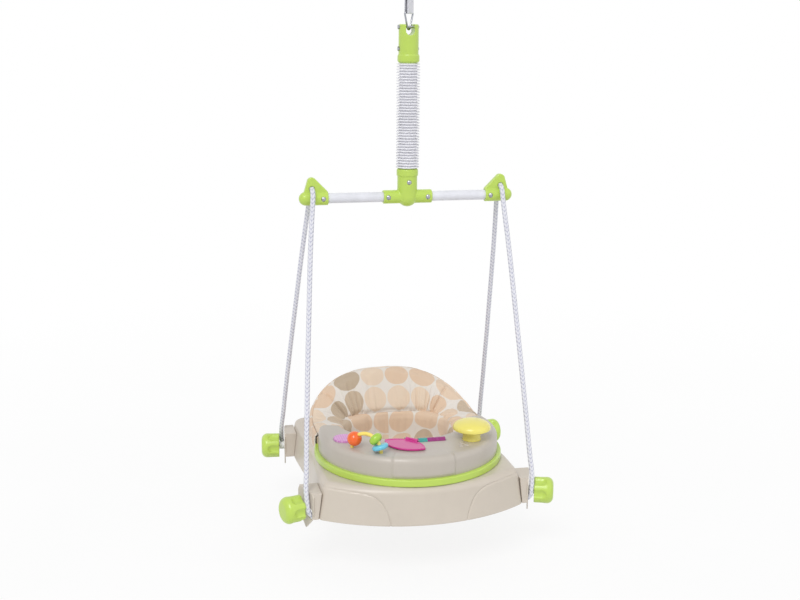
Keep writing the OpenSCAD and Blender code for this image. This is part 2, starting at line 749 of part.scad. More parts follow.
// Base outline: front arc, corner, straight pad, drawn-in side, pad, corner and rear arc
front_c = [0, base_front_r - base_front];
rear_c = [0, base_rear - base_rear_r];
corner_x = base_half_w - base_corner_r;
front_corner = [corner_x, front_c.y - sqrt(pow(base_front_r - base_corner_r, 2) - corner_x * corner_x)];
rear_corner = [corner_x, rear_c.y + sqrt(pow(base_rear_r - base_corner_r, 2) - corner_x * corner_x)];
front_turn = atan2(front_corner.y - front_c.y, corner_x);
rear_turn = atan2(rear_corner.y - rear_c.y, corner_x);
waist_y0 = -front_knob_y + arm_half_w;
waist_y1 = rear_knob_y - arm_half_w;
arc_steps = 9;
corner_steps = 3;
waist_steps = 8;
shoulder_steps = 4;
base_right = concat(arc(front_c, base_front_r, -90, front_turn, arc_steps),
    [for (p = arc(front_corner, base_corner_r, front_turn, 0, corner_steps)) p],
    [for (i = [0:waist_steps]) let (s = i / waist_steps)
        [base_half_w - base_waist * (1 - cos(360 * s)) / 2, waist_y0 + (waist_y1 - waist_y0) * s]],
    [for (p = arc(rear_corner, base_corner_r, 0, rear_turn, corner_steps)) p],
    arc(rear_c, base_rear_r, rear_turn, 90, arc_steps));
// The corner arcs repeat the ends of the long arcs, so those doubles are left out
base_half = [for (i = [0:len(base_right) - 1])
    if (i == 0 || norm(base_right[i] - base_right[i - 1]) > seat_gap) base_right[i]];
base_line = concat(base_half, [for (i = [len(base_half) - 2:-1:1]) [-base_half[i].x, base_half[i].y]]);
base_mid = (base_rear - base_front) / 2;
base_half_l = (base_rear + base_front) / 2;

function base_ring(inset, z) = [for (p = base_line) [p.x * (base_half_w - inset) / base_half_w,
    base_mid + (p.y - base_mid) * (base_half_l - inset) / base_half_l, z]];
function opening_ring(r, z) = [for (p = base_line) let (d = p - [0, seat_y])
    [r * d.x / norm(d), seat_y + r * d.y / norm(d), z]];
function shoulder(inset, z, r) = [for (i = [0:shoulder_steps]) let (a = 90 * i / shoulder_steps)
    base_ring(inset + r * (1 - cos(a)), z - r + r * sin(a))];

module base_shell() color(beige) difference() {
    ring_loft(concat([base_ring(0, base_z)], shoulder(base_draft, deck_z, base_shoulder_r),
        [opening_ring(opening_r + facet_gap, deck_z), opening_ring(opening_r + facet_gap, deck_z - base_wall)],
        [for (i = [shoulder_steps:-1:0]) shoulder(base_wall + base_draft, deck_z - base_wall,
            base_shoulder_r - base_wall)[i]], [base_ring(base_wall, base_z)]));
    at_tray_screws() translate([0, 0, deck_z - base_wall - overrun])
        cylinder(r = tray_screw_r + seat_gap, h = base_wall + 2 * overrun);
}

// Places a right-hand piece at corner i with X from the middle, mirrored on the left
module at_side(i) translate([0, corners[i].y, knob_z]) mirror([corners[i].x < 0 ? 1 : 0, 0, 0]) children();

// The frame of corner i's plate: X along the knob's axis from the plate's outer face
module in_plate(i) translate([plate_xs[i], 0, 0]) rotate([0, 0, plate_turns[i]]) children();
module at_plate(i) at_side(i) in_plate(i) children();
function plate_spot(i, x, y) = let (turn = plate_turns[i])
    [plate_xs[i] + x * cos(turn) - y * sin(turn), x * sin(turn) + y * cos(turn)];

// The base's leaning side wall at a height over the knob's centre
draft_h = base_h - base_shoulder_r;
draft_turn = atan(base_draft / draft_h);
function wall_x(z) = base_half_w - base_draft * (z + knob_lift) / draft_h;

// Everything within a gap of the base's side wall
module wall_side(gap) {
    low = -knob_lift - 2 * overrun;
    high = arm_top + overrun;
    rotate([90, 0, 0]) translate([0, 0, -2 * arm_half_w]) linear_extrude(4 * arm_half_w)
        polygon([[0, low], [wall_x(low) + gap, low], [wall_x(high) + gap, high], [0, high]]);
}

// Bracket's arm from a gap off the wall to a depth in the plate, drawn in by a margin
module arm_block(i, gap, depth, margin, low, high) difference() {
    half = arm_half_w - margin;
    root = base_half_w - 2 * base_draft;
    translate([0, 0, low]) linear_extrude(high - low)
        polygon([[root, -half], plate_spot(i, -depth, -half), plate_spot(i, -depth, half), [root, half]]);
    wall_side(gap);
}

// Seats of a bracket's screws on the inside of its root, square to the base's wall
module at_screws() for (side = [-1, 1])
    translate([wall_x(bracket_screw_up) + seat_gap + arm_root_t, side * bracket_screw_y, bracket_screw_up])
    rotate([0, 90 - draft_turn, 0]) children();

// Corner bracket: a hollow arm from the base's wall and a flange plate with the knob's bolt hole
module bracket(i) difference() {
    union() {
        difference() {
            arm_block(i, seat_gap, plate_t / 2, 0, -knob_lift, arm_top);
            arm_block(i, seat_gap + arm_root_t, plate_t / 4, arm_wall, -knob_lift - overrun, arm_top - arm_wall);
        }
        in_plate(i) translate([-plate_t, 0, 0]) rotate([0, 90, 0]) linear_extrude(plate_t) plate_outline();
    }
    in_plate(i) {
        rod_x(-plate_t - overrun, overrun, knob_bolt_r + run_gap);
        translate([0, rope_ends[i] * rope_hole_off, 0]) rope_slot();
    }
    at_screws() translate([0, 0, -arm_root_t - overrun]) cylinder(r = screw_r + run_gap, h = arm_root_t + 2 * overrun);
}

// Plate with two rounded upper corners and a pointed foot, drawn with X down and Y along the plate
module plate_outline() {
    side = acos(plate_r / plate_tip);
    corner = [plate_corner_r - arm_top, plate_r - plate_corner_r];
    circle(r = plate_r);
    polygon([[plate_tip, 0], plate_r * [cos(side), sin(side)], [0, 0], plate_r * [cos(side), -sin(side)]]);
    for (turn = [-1, 1]) translate([corner.x, turn * corner.y]) circle(r = plate_corner_r);
    translate([corner.x, -plate_r]) square([-corner.x, 2 * plate_r]);
    translate([-arm_top, -corner.y]) square([arm_top, 2 * corner.y]);
}

// Upright slot through the plate for the rope's end
module rope_slot() {
    for (z = [rope_hole_top - rope_hole_r, -rope_hole_foot - rope_hole_r]) translate([0, 0, z])
        rod_x(-plate_t - overrun, overrun, rope_hole_r);
    translate([-plate_t - overrun, -rope_hole_r, -rope_hole_foot - rope_hole_r])
        cube([plate_t + 2 * overrun, 2 * rope_hole_r, rope_hole_top + rope_hole_foot]);
}

module front_left_bracket() color(beige) at_side(0) bracket(0);
module front_right_bracket() color(beige) at_side(1) bracket(1);
module rear_left_bracket() color(beige) at_side(2) bracket(2);
module rear_right_bracket() color(beige) at_side(3) bracket(3);

module bracket_screws() color(steel) for (i = [0:3]) at_side(i) at_screws()
    dome_screw(head_r, head_h, screw_r, bracket_screw_l);

module knob_bolts() color(steel) for (i = [0:3]) at_plate(i) {
    rod_x(-plate_t - bolt_head_h, -plate_t, bolt_head_r);
    rod_x(-plate_t, knob_gap + knob_bore_l - overrun, knob_bolt_r);
}

module knob_spacers() color(steel) for (i = [0:3]) at_plate(i) difference() {
    rod_x(0, knob_gap - seat_gap, spacer_r);
    rod_x(-overrun, knob_gap + overrun, knob_bolt_r + run_gap);
}

// Fluted clamp knob with a rounded outer end
module knob() difference() {
    translate([knob_gap, 0, 0]) rotate([0, 90, 0]) rotate_extrude() union() {
        square([knob_r, knob_l - knob_edge_r]);
        square([knob_r - knob_edge_r, knob_l]);
        translate([knob_r - knob_edge_r, knob_l - knob_edge_r]) intersection() {
            circle(r = knob_edge_r);
            square(knob_edge_r);
        }
    }
    rod_x(knob_gap - overrun, knob_gap + knob_bore_l, knob_bolt_r + run_gap);
    for (i = [0:scoop_count - 1]) rotate([360 * (i + 0.5) / scoop_count, 0, 0])
        translate([0, 0, knob_r + scoop_r - scoop_depth]) {
            rod_x(knob_gap - overrun, knob_gap + knob_l - scoop_past, scoop_r);
            translate([knob_gap + knob_l - scoop_past, 0, 0]) sphere(r = scoop_r);
        }
}

module front_left_knob() color(lime) at_plate(0) knob();
module front_right_knob() color(lime) at_plate(1) knob();
module rear_left_knob() color(lime) at_plate(2) knob();
module rear_right_knob() color(lime) at_plate(3) knob();

// Green trim round the foot of the tray
module trim_ring() color(lime) translate([0, -tray_y, deck_z]) rotate([0, 0, 180 - trim_past])
    rotate_extrude(angle = 180 + 2 * trim_past) translate([tray_r + seat_gap, 0]) union() {
        edge = trim_t / 3;
        square([trim_t - edge, trim_h]);
        translate([0, edge]) square([trim_t, trim_h - 2 * edge]);
        for (y = [edge, trim_h - edge]) translate([trim_t - edge, y]) circle(r = edge);
    }

// Solid form of the tray, drawn in by a margin
module tray_form(margin, foot) intersection() {
    difference() {
        translate([0, -tray_y, deck_z - foot]) rotate_extrude() union() {
            square([tray_r - margin, tray_h + foot - tray_edge_r]);
            square([tray_r - tray_edge_r, tray_h + foot - margin]);
            translate([tray_r - tray_edge_r, tray_h + foot - tray_edge_r]) intersection() {
                circle(r = tray_edge_r - margin);
                square(tray_edge_r);
            }
        }
        translate([0, seat_y, deck_z - foot - overrun])
            cylinder(r = opening_r + margin, h = tray_h + foot + 2 * overrun);
    }
    translate([-2 * tray_r, -2 * tray_r, deck_z - foot - overrun])
        cube([4 * tray_r, 2 * tray_r + tray_back - margin, tray_h + foot + 2 * overrun]);
}

module at_tray_screws() for (a = [-tray_screw_turn, -90, tray_screw_turn - 180])
    translate([tray_screw_out * cos(a), tray_screw_out * sin(a) - tray_y, 0]) children();

module tray() color(tray_grey) difference() {
    union() {
        difference() {
            tray_form(0, 0);
            tray_form(tray_wall, overrun);
        }
        translate([0, -tray_y, deck_z + brow_foot]) rotate([0, 0, -90 - brow_half])
            rotate_extrude(angle = 2 * brow_half) translate([tray_r - tray_wall, 0])
            square([tray_wall + brow_out, tray_h - brow_foot - brow_head]);
        at_tray_screws() translate([0, 0, deck_z]) cylinder(r = boss_r, h = tray_h - tray_wall / 2);
        translate([push_at.x, push_at.y, tray_z - push_cup_depth])
            cylinder(r = push_r + push_gap + push_cup_wall, h = push_cup_depth - tray_wall / 2);
        translate([mushroom_at.x, mushroom_at.y, tray_z - axle_root - tray_wall])
            cylinder(r = axle_r + boss_r, h = axle_root + tray_wall / 2);
        for (side = [-1, 1]) {
            at_leaf() translate([side * (leaf_knuckle_l + leaf_lug_t + 2 * seat_gap) / 2, leaf_w / 2, 0]) leaf_lug();
            translate([roller_at.x + side * (roller_l / 2 + roller_gap + bearing_t / 2) - bearing_t / 2,
                roller_at.y - roller_r, tray_z - bearing_drop])
                cube([bearing_t, 2 * roller_r, bearing_drop - tray_wall / 2]);
        }
        for (p = relief_at) translate([p.x, p.y, tray_z]) relief();
    }
    at_tray_screws() translate([0, 0, deck_z - overrun]) cylinder(r = tray_screw_r, h = shank_l + overrun);
    translate([push_at.x, push_at.y, tray_z - push_cup_depth + push_cup_wall])
        cylinder(r = push_r + push_gap, h = push_cup_depth + overrun);
    translate([mushroom_at.x, mushroom_at.y, tray_z - axle_root]) cylinder(r = axle_r, h = axle_root + overrun);
    translate([roller_at.x - roller_l / 2 - roller_gap, roller_at.y - roller_r - roller_gap,
        tray_z - bearing_drop - roller_r])
        cube([roller_l + 2 * roller_gap, 2 * (roller_r + roller_gap), bearing_drop + roller_r + overrun]);
    translate([roller_at.x, roller_at.y, tray_z + roller_rise - roller_r / 2])
        rod_x(-roller_l, roller_l, roller_axle_r);
}

// Ear of the leaf's hinge, standing on zero
module leaf_lug() difference() {
    union() {
        translate([-leaf_lug_t / 2, -leaf_lug_r, -tray_wall / 2])
            cube([leaf_lug_t, 2 * leaf_lug_r, leaf_lug_r + leaf_rise + tray_wall / 2]);
        translate([0, 0, leaf_lug_r + leaf_rise]) rod_x(-leaf_lug_t / 2, leaf_lug_t / 2, leaf_lug_r);
    }
    translate([0, 0, leaf_lug_r + leaf_rise]) rod_x(-leaf_lug_t, leaf_lug_t, leaf_pin_r);
}

// Low raised dot on the tray
module relief() {
    ball = (relief_r * relief_r + relief_rise * relief_rise) / (2 * relief_rise);
    intersection() {
        translate([0, 0, relief_rise - ball]) sphere(r = ball);
        translate([0, 0, -tray_wall / 2]) cylinder(r = relief_r, h = relief_rise + tray_wall);
    }
}

module tray_screws() color(steel) at_tray_screws() translate([0, 0, deck_z - base_wall]) mirror([0, 0, 1])
    dome_screw(head_r, head_h, tray_screw_r, shank_l);

module seat_ring() color(white) translate([0, seat_y, deck_z - ring_down]) difference() {
    cylinder(r = opening_r - seat_gap, h = ring_h);
    translate([0, 0, -overrun]) cylinder(r = opening_r - seat_gap - ring_t, h = ring_h + 2 * overrun);
}

// Sling: gathered bowl that hangs from the ring, with two leg holes
sling_r = opening_r - 2 * seat_gap - ring_t;
sling_top_z = deck_z - ring_down + ring_h;
gather_shares = [0, 1, 1, 0.6, 0.2];

function sling_ring(i, thick) = [for (k = [0:sling_steps - 1]) let (a = 360 * k / sling_steps,
    r = sling_r * sling_r_shares[i] + gather * gather_shares[i] * cos(gather_count * a) - thick)
    [r * sin(a), seat_y - r * cos(a), sling_top_z - sling_h * sling_z_shares[i]
        + thick * pow(sling_z_shares[i], 3)]];

module seat_sling() color(cloth) difference() {
    last = len(sling_r_shares) - 1;
    low = sling_top_z - sling_h;
    union() {
        ring_loft(concat([for (i = [last:-1:0]) sling_ring(i, 0)], [for (i = [0:last]) sling_ring(i, sling_t)]));
        translate([0, seat_y, low + sling_h * (1 - sling_z_shares[last])])
            cylinder(r = sling_r * sling_r_shares[last] - sling_t / 2, h = sling_t);
    }
    for (side = [-1, 1]) translate([side * leg_half_x, seat_y - leg_y, low - overrun])
        cylinder(r = leg_r, h = sling_h);
}

// Backrest: a line round the rear of the seat, as half widths and reaches
function back_point(s, out) = let (a = 90 * s) [(back_half_w + out) * sgn_pow(sin(a), plan_power),
    seat_y + (back_reach + out) * pow(cos(a), plan_power)];
function back_out(s, out) = let (step = 1 / back_steps, d = back_point(min(s + step, 1), 0)
    - back_point(max(s - step, -1), 0)) back_point(s, 0) + out * unit([-d.y, d.x]);
function back_top(s) = let (x = min(1, max(0, abs(s) - back_flat_share) / (back_low_share - back_flat_share)))
    back_end_h + (back_h - back_end_h) * (1 + cos(180 * x)) / 2;
function seam(s) = 1 - seam_depth_share * max([for (p = seam_shares) exp(-pow((s - p) / seam_width_share, 2))]);

// Pad section at share s of the turn: crowned and leaning, with rounded top and foot
pad_foot = ring_h - ring_down + seat_gap;
function pad_section(s) = [for (k = [0:back_sides - 1]) let (a = 360 * k / back_sides,
    up = sgn_pow(sin(a), rise_power), h = back_top(s) - pad_foot,
    q = back_out(s, back_lean * up / 2 + back_pad_t / 2 * seam(s) * sgn_pow(cos(a), crown_power)))
    [q.x, q.y, deck_z + pad_foot + h / 2 * (1 + up)]];

module seat_back() color(cloth)
    end_loft([for (i = [0:back_steps]) pad_section(2 * i / back_steps - 1)]);

// Upright strip along the backrest, between two distances from the pad's middle
module back_strip(near, far, drop) end_loft([for (i = [0:back_steps]) let (s = 2 * i / back_steps - 1,
    a = back_out(s, near), b = back_out(s, far), z = deck_z + back_top(s) - drop)
    [[b.x, b.y, deck_z], [b.x, b.y, z], [a.x, a.y, z], [a.x, a.y, deck_z]]]);

board_near = back_touch_share * (back_lean + back_pad_t) / 2 + seat_gap;
cover_near = board_near + board_t + seat_gap;
board_drop = 12;
cover_drop = 8;

module back_board() color(white) back_strip(board_near, board_near + board_t, board_drop);
module back_cover() color(cloth) back_strip(cover_near, cover_near + cover_t, cover_drop);

module at_mushroom() translate([mushroom_at.x, mushroom_at.y, tray_z]) children();

module mushroom_cap() color(sunny) at_mushroom() translate([0, 0, stem_h]) {
    crown = crown_share * mushroom_cap_h;
    top = (mushroom_r * mushroom_r + crown * crown) / (2 * crown);
    under = mushroom_cap_h - crown;
    low = (mushroom_r * mushroom_r + under * under) / (2 * under);
    flat = low - sqrt(low * low - stem_r * stem_r);
    intersection() {
        translate([0, 0, mushroom_cap_h - top]) sphere(r = top);
        translate([0, 0, low - flat]) sphere(r = low);
        cylinder(r = mushroom_r, h = mushroom_cap_h);
    }
}

module mushroom_stem() color(sunny) at_mushroom() difference() {
    translate([0, 0, seat_gap]) cylinder(r = stem_r, h = stem_h - seat_gap);
    cylinder(r = axle_r + run_gap, h = axle_l - axle_root + seat_gap);
}

module mushroom_axle() color(steel) at_mushroom() translate([0, 0, -axle_root]) cylinder(r = axle_r, h = axle_l - axle_root);

// Arch frame: X along the arch's chord, Y up, Z across
arch_turn = atan2(arch_dir.y, arch_dir.x);
module at_arch() translate([arch_at.x, arch_at.y, tray_z + arch_lift]) rotate([0, 0, arch_turn])
    rotate([90, 0, 0]) children();

module bead_arch() color(arch_yellow) at_arch() {
    rotate_extrude(angle = 180) translate([arch_r, 0]) circle(r = arch_wire_r);
    for (side = [-1, 1]) translate([side * arch_r, -arch_lift, 0]) rotate([-90, 0, 0])
        cylinder(r = arch_wire_r, h = arch_lift);
}

// A bead at a turn from the left foot, with a curved bore that follows the wire
module bead(turn) at_arch() difference() {
    rotate([0, 0, 180 - turn]) translate([arch_r, 0, 0]) rotate([-90, 0, 0]) children();
    rotate_extrude() translate([arch_r, 0]) circle(r = arch_wire_r + bead_gap);
}

module orange_bead() color(orange) bead(ball_turn) sphere(r = ball_r);
module green_bead() color(leaf_green) bead(oval_turn) round_bead(oval_r, oval_t);
module blue_bead() color(sky) bead(disc_turn) round_bead(disc_bead_r, disc_bead_t);

// Flat bead with a fully rounded rim, its middle at zero
module round_bead(r, t) rotate_extrude() union() {
    translate([0, -t / 2]) square([r - t / 2, t]);
    translate([r - t / 2, 0]) intersection() {
        circle(r = t / 2);
        translate([0, -t / 2]) square([t / 2, t]);
    }
}

// Leaf: two arcs that meet in points, with a raised rim and a hinge knuckle at its rear edge
leaf_arc_r = (leaf_l * leaf_l + leaf_w * leaf_w) / (4 * leaf_w);
module leaf_outline(margin) intersection() {
    translate([0, leaf_arc_r - leaf_w / 2]) circle(r = leaf_arc_r - margin);
    translate([0, leaf_w / 2 - leaf_arc_r]) circle(r = leaf_arc_r - margin);
}

leaf_axis_z = leaf_lug_r + leaf_rise;
module at_leaf() translate([leaf_at.x, leaf_at.y, tray_z]) rotate([0, 0, leaf_turn]) children();

module leaf_flap() color(magenta) at_leaf() difference() {
    union() {
        translate([0, 0, leaf_rise]) linear_extrude(leaf_t) leaf_outline(0);
        translate([0, leaf_w / 2, leaf_axis_z]) rod_x(-leaf_knuckle_l / 2, leaf_knuckle_l / 2, leaf_lug_r);
    }
    translate([0, 0, leaf_rise + leaf_t - leaf_dish]) linear_extrude(leaf_t) leaf_outline(leaf_rim);
    translate([0, leaf_w / 2, leaf_axis_z]) rod_x(-leaf_knuckle_l, leaf_knuckle_l, leaf_pin_r + run_gap);
    for (side = [0, 1]) mirror([side, 0, 0]) translate([leaf_knuckle_l / 2, leaf_w / 2 - leaf_lug_r - seat_gap, 0])
        cube([leaf_lug_t + 2 * seat_gap, leaf_w, leaf_axis_z + leaf_lug_r]);
}

module leaf_pin() color(steel) at_leaf() translate([0, leaf_w / 2, leaf_axis_z])
    rod_x(-leaf_knuckle_l / 2 - leaf_lug_t, leaf_knuckle_l / 2 + leaf_lug_t, leaf_pin_r);

module at_roller() translate([roller_at.x, roller_at.y, tray_z + roller_rise - roller_r / 2]) children();

module roller() color(plum) at_roller() difference() {
    rod_x(-roller_l / 2, roller_l / 2, roller_r);
    rod_x(-roller_l, roller_l, roller_axle_r + run_gap);
}

module roller_axle() color(steel) at_roller()
    rod_x(-roller_l / 2 - roller_gap - bearing_t, roller_l / 2 + roller_gap + bearing_t, roller_axle_r);

module push_disc() color(lilac) translate([push_at.x, push_at.y, tray_z + push_h - push_t])
    cylinder(r = push_r, h = push_t);

module push_spring() color(steel) translate([push_at.x, push_at.y, 0]) {
    low = tray_z - push_cup_depth + push_cup_wall + push_spring_wire_r + seat_gap;
    high = tray_z + push_h - push_t - push_spring_wire_r - seat_gap;
    path = coil(push_spring_r, low, (high - low) / push_spring_turns, push_spring_turns, spring_steps);
    tube(path, [for (p = path) push_spring_wire_r], spring_sides, [1, 0, 0]);
}

eye_plate();
hanging_strap();
strap_link();
spring_cap();
cap_bolts();
upper_spring_plug();
spring();
bellows();
lower_spring_plug();
tee_joint();
tee_bolt();
crossbar();
bar_screws();
left_end_cap();
right_end_cap();
left_rope();
right_rope();
base_shell();
front_left_bracket();
front_right_bracket();
rear_left_bracket();
rear_right_bracket();
bracket_screws();
knob_bolts();
knob_spacers();
front_left_knob();
front_right_knob();
rear_left_knob();
rear_right_knob();
trim_ring();
tray();
tray_screws();
seat_ring();
seat_sling();
seat_back();
back_board();
back_cover();
mushroom_cap();
mushroom_stem();
mushroom_axle();
bead_arch();
orange_bead();
green_bead();
blue_bead();
leaf_flap();
leaf_pin();
roller();
roller_axle();
push_disc();
push_spring();
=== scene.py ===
"""Looks of a hanging baby jumper: ropes, column, moulded base, tray, seat cloth and toys.

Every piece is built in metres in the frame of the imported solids, +Z up and -Y to the front.
"""

import logging
import math
from dataclasses import dataclass, field
from enum import Enum
from typing import Callable, Optional, Sequence

import bmesh
import bpy
import numpy as np
from mathutils import Matrix, Vector, noise


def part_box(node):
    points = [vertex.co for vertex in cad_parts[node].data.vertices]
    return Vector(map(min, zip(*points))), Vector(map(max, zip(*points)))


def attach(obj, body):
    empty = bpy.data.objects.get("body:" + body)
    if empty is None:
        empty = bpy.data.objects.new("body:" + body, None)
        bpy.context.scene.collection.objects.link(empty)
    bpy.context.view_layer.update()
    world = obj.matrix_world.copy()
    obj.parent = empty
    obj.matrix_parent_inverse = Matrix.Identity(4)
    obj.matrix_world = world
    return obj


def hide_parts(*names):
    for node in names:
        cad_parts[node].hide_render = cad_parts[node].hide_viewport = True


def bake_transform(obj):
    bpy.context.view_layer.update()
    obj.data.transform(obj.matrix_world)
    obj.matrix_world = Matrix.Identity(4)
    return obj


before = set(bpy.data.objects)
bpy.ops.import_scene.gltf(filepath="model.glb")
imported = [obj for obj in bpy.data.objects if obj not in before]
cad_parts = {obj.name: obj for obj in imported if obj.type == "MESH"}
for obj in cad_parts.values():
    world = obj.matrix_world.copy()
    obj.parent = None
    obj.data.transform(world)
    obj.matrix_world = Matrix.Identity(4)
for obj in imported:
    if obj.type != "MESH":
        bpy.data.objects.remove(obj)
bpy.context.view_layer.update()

LOG = logging.getLogger("jumper")
Point = tuple[float, float, float]
Colour = tuple[float, float, float]
Face = tuple[int, ...]
Piece = bpy.types.Object
Socket = bpy.types.NodeSocket
Array = np.ndarray
Pair = tuple[float, float]
SEAT_Y = 0.045
OPENING_R = 0.152
NUDGE = 0.0012


class Height:
    """Heights of the main levels, in metres."""

    CAP_FOOT = -0.1541
    TEE_TOP = -0.3801
    BASE = -1.1076
    DECK = -1.0266
    TRAY = -0.9656
    FLOOR = -1.235


class Body(str, Enum):
    """Moving bodies that pieces ride on."""

    HANGER = "hanger"
    CAP = "cap"
    SPREADER = "spreader"
    CRADLE = "cradle"
    MUSHROOM = "mushroom"


class Side(Enum):
    """Left and right of the jumper, as the sign of X."""

    LEFT = -1
    RIGHT = 1

    @property
    def word(self) -> str:
        """The side as a piece's name has it."""
        return self.name.lower()


# Mesh helpers


def smoothstep(low: float, high: float, value: Array | float) -> Array | float:
    """Smooth rise from 0 at low to 1 at high."""
    t = np.clip((value - low) / (high - low), 0.0, 1.0)
    return t * t * (3 - 2 * t)


def grid_faces(rows: int, cols: int, close_rows: bool = False, close_cols: bool = False) -> list[Face]:
    """Quads of a grid of points kept row by row.

    Args:
        rows: number of rows.
        cols: points in a row.
        close_rows: the last row joins the first.
        close_cols: the last point of a row joins its first.
    Returns:
        Quads as tuples of point numbers.
    """
    faces = []
    for r in range(rows if close_rows else rows - 1):
        a, b = r * cols, ((r + 1) % rows) * cols
        for c in range(cols if close_cols else cols - 1):
            d = (c + 1) % cols
            faces.append((a + c, a + d, b + d, b + c))
    return faces


def make_mesh(name: str, points: Array, faces: Sequence[Face], uv: Optional[Array] = None,
              sharp: float = 40.0) -> Piece:
    """A new smooth mesh object.

    Args:
        name: the piece's name.
        points: N by 3 places in metres.
        faces: tuples of point numbers.
        uv: N by 2 cloth places in metres, one for each point.
        sharp: edges bent more than this many degrees stay crisp.
    Returns:
        The linked object.
    """
    mesh = bpy.data.meshes.new(name)
    mesh.from_pydata([tuple(map(float, p)) for p in np.asarray(points).reshape(-1, 3)], [], list(faces))
    if uv is not None:
        layer = mesh.uv_layers.new(name="cloth")
        index = np.empty(len(mesh.loops), np.int32)
        mesh.loops.foreach_get("vertex_index", index)
        layer.data.foreach_set("uv", np.asarray(uv, np.float32)[index].ravel())
    mesh.polygons.foreach_set("use_smooth", [True] * len(mesh.polygons))
    mesh.set_sharp_from_angle(angle=math.radians(sharp))
    mesh.update()
    obj = bpy.data.objects.new(name, mesh)
    bpy.context.scene.collection.objects.link(obj)
    return obj


def apply_modifiers(obj: Piece, sharp: float = 40.0) -> None:
    """Bakes an object's modifiers into its mesh and sets its crisp edges again."""
    graph = bpy.context.evaluated_depsgraph_get()
    graph.update()
    mesh = bpy.data.meshes.new_from_object(obj.evaluated_get(graph), preserve_all_data_layers=True,
                                           depsgraph=graph)
    old = obj.data
    obj.modifiers.clear()
    obj.data = mesh
    name = old.name
    bpy.data.meshes.remove(old)
    mesh.name = name
    mesh.polygons.foreach_set("use_smooth", [True] * len(mesh.polygons))
    mesh.set_sharp_from_angle(angle=math.radians(sharp))


def face_out(obj: Piece) -> None:
    """Turns every face of a closed mesh outward."""
    work = bmesh.new()
    work.from_mesh(obj.data)
    bmesh.ops.recalc_face_normals(work, faces=work.faces)
    work.to_mesh(obj.data)
    work.free()


def read_points(obj: Piece) -> Array:
    """N by 3 array of an object's own points."""
    out = np.empty(len(obj.data.vertices) * 3)
    obj.data.vertices.foreach_get("co", out)
    return out.reshape(-1, 3)


def write_points(obj: Piece, points: Array) -> None:
    """Moves an object's points to new places."""
    obj.data.vertices.foreach_set("co", np.asarray(points).ravel())
    obj.data.update()


def run_along(path: Array) -> Array:
    """Run from a path's start to each of its points."""
    return np.concatenate([[0], np.cumsum(np.linalg.norm(np.diff(path, axis=0), axis=1))])


def full_turn(count: int) -> Array:
    """Even angles round a full turn."""
    return np.linspace(0, 2 * math.pi, count, endpoint=False)


def arc(x: float, y: float, r: float, first: float, last: float, count: int) -> list[Pair]:
    """Points of a flat arc about (x, y) from one angle to another."""
    return [(x + r * math.cos(t), y + r * math.sin(t)) for t in np.linspace(first, last, count)]


def node_box(node: str) -> tuple[Vector, Vector, Vector]:
    """Lowest corner, highest corner and middle of a solid at rest."""
    low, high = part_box(node)
    return low, high, (low + high) / 2


def smooth_route(points: Sequence[Point], step: float) -> Array:
    """Even samples of a smooth curve through route points.

    Args:
        points: places that the curve passes through.
        step: spacing of the samples in metres.
    Returns:
        N by 3 samples from the first point to the last.
    """
    p = np.array(points, float)
    q = np.vstack([2 * p[0] - p[1], p, 2 * p[-1] - p[-2]])
    fine = []
    for four in zip(q, q[1:], q[2:], q[3:]):
        at = [0.0]
        for near, far in zip(four, four[1:]):
            at.append(at[-1] + math.sqrt(np.linalg.norm(far - near)))
        for t in np.linspace(at[1], at[2], 24, endpoint=False):
            row = list(four)
            for span, starts in ((1, (0, 1, 2)), (2, (0, 1)), (1, (1,))):
                row = [((at[i + span] - t) * row[k] + (t - at[i]) * row[k + 1]) / (at[i + span] - at[i])
                       for k, i in enumerate(starts)]
            fine.append(row[0])
    fine = np.vstack([fine, p[-1]])
    run = run_along(fine)
    want = np.linspace(0, run[-1], max(2, int(round(run[-1] / step)) + 1))
    return np.stack([np.interp(want, run, fine[:, k]) for k in range(3)], axis=1)


def tube_grid(path: Array, sides: int, radius: Callable[[Array, Array], Array]
              ) -> Array:
    """Points of a tube along a path.

    Args:
        path: N by 3 samples of the middle line.
        sides: points round the tube.
        radius: gives the radius from the run along the path and the turn, both N by sides.
    Returns:
        N by sides by 3 points.
    """
    tangent = np.gradient(path, axis=0)
    tangent /= np.linalg.norm(tangent, axis=1)[:, None]
    normal = np.empty_like(path)
    n = np.array([0.3, 1.0, 0.2])
    for i, t in enumerate(tangent):
        n = n - n.dot(t) * t
        n /= np.linalg.norm(n)
        normal[i] = n
    across = np.cross(tangent, normal)
    s, a = np.meshgrid(run_along(path), full_turn(sides), indexing="ij")
    r = radius(s, a)[..., None]
    x, y = np.cos(a)[..., None], np.sin(a)[..., None]
    return path[:, None] + r * (x * normal[:, None] + y * across[:, None])


def tube_faces(rings: int, sides: int) -> list[Face]:
    """Faces of a tube with both ends closed."""
    last = (rings - 1) * sides
    return grid_faces(rings, sides, close_cols=True) + [tuple(range(sides - 1, -1, -1)),
                                                        tuple(range(last, last + sides))]


def plain_tube(name: str, path: Array, radius: float, sides: int = 12) -> Piece:
    """A round tube of one radius along a path."""
    grid = tube_grid(path, sides, lambda s, a: np.full_like(s, radius))
    return make_mesh(name, grid, tube_faces(len(path), sides))


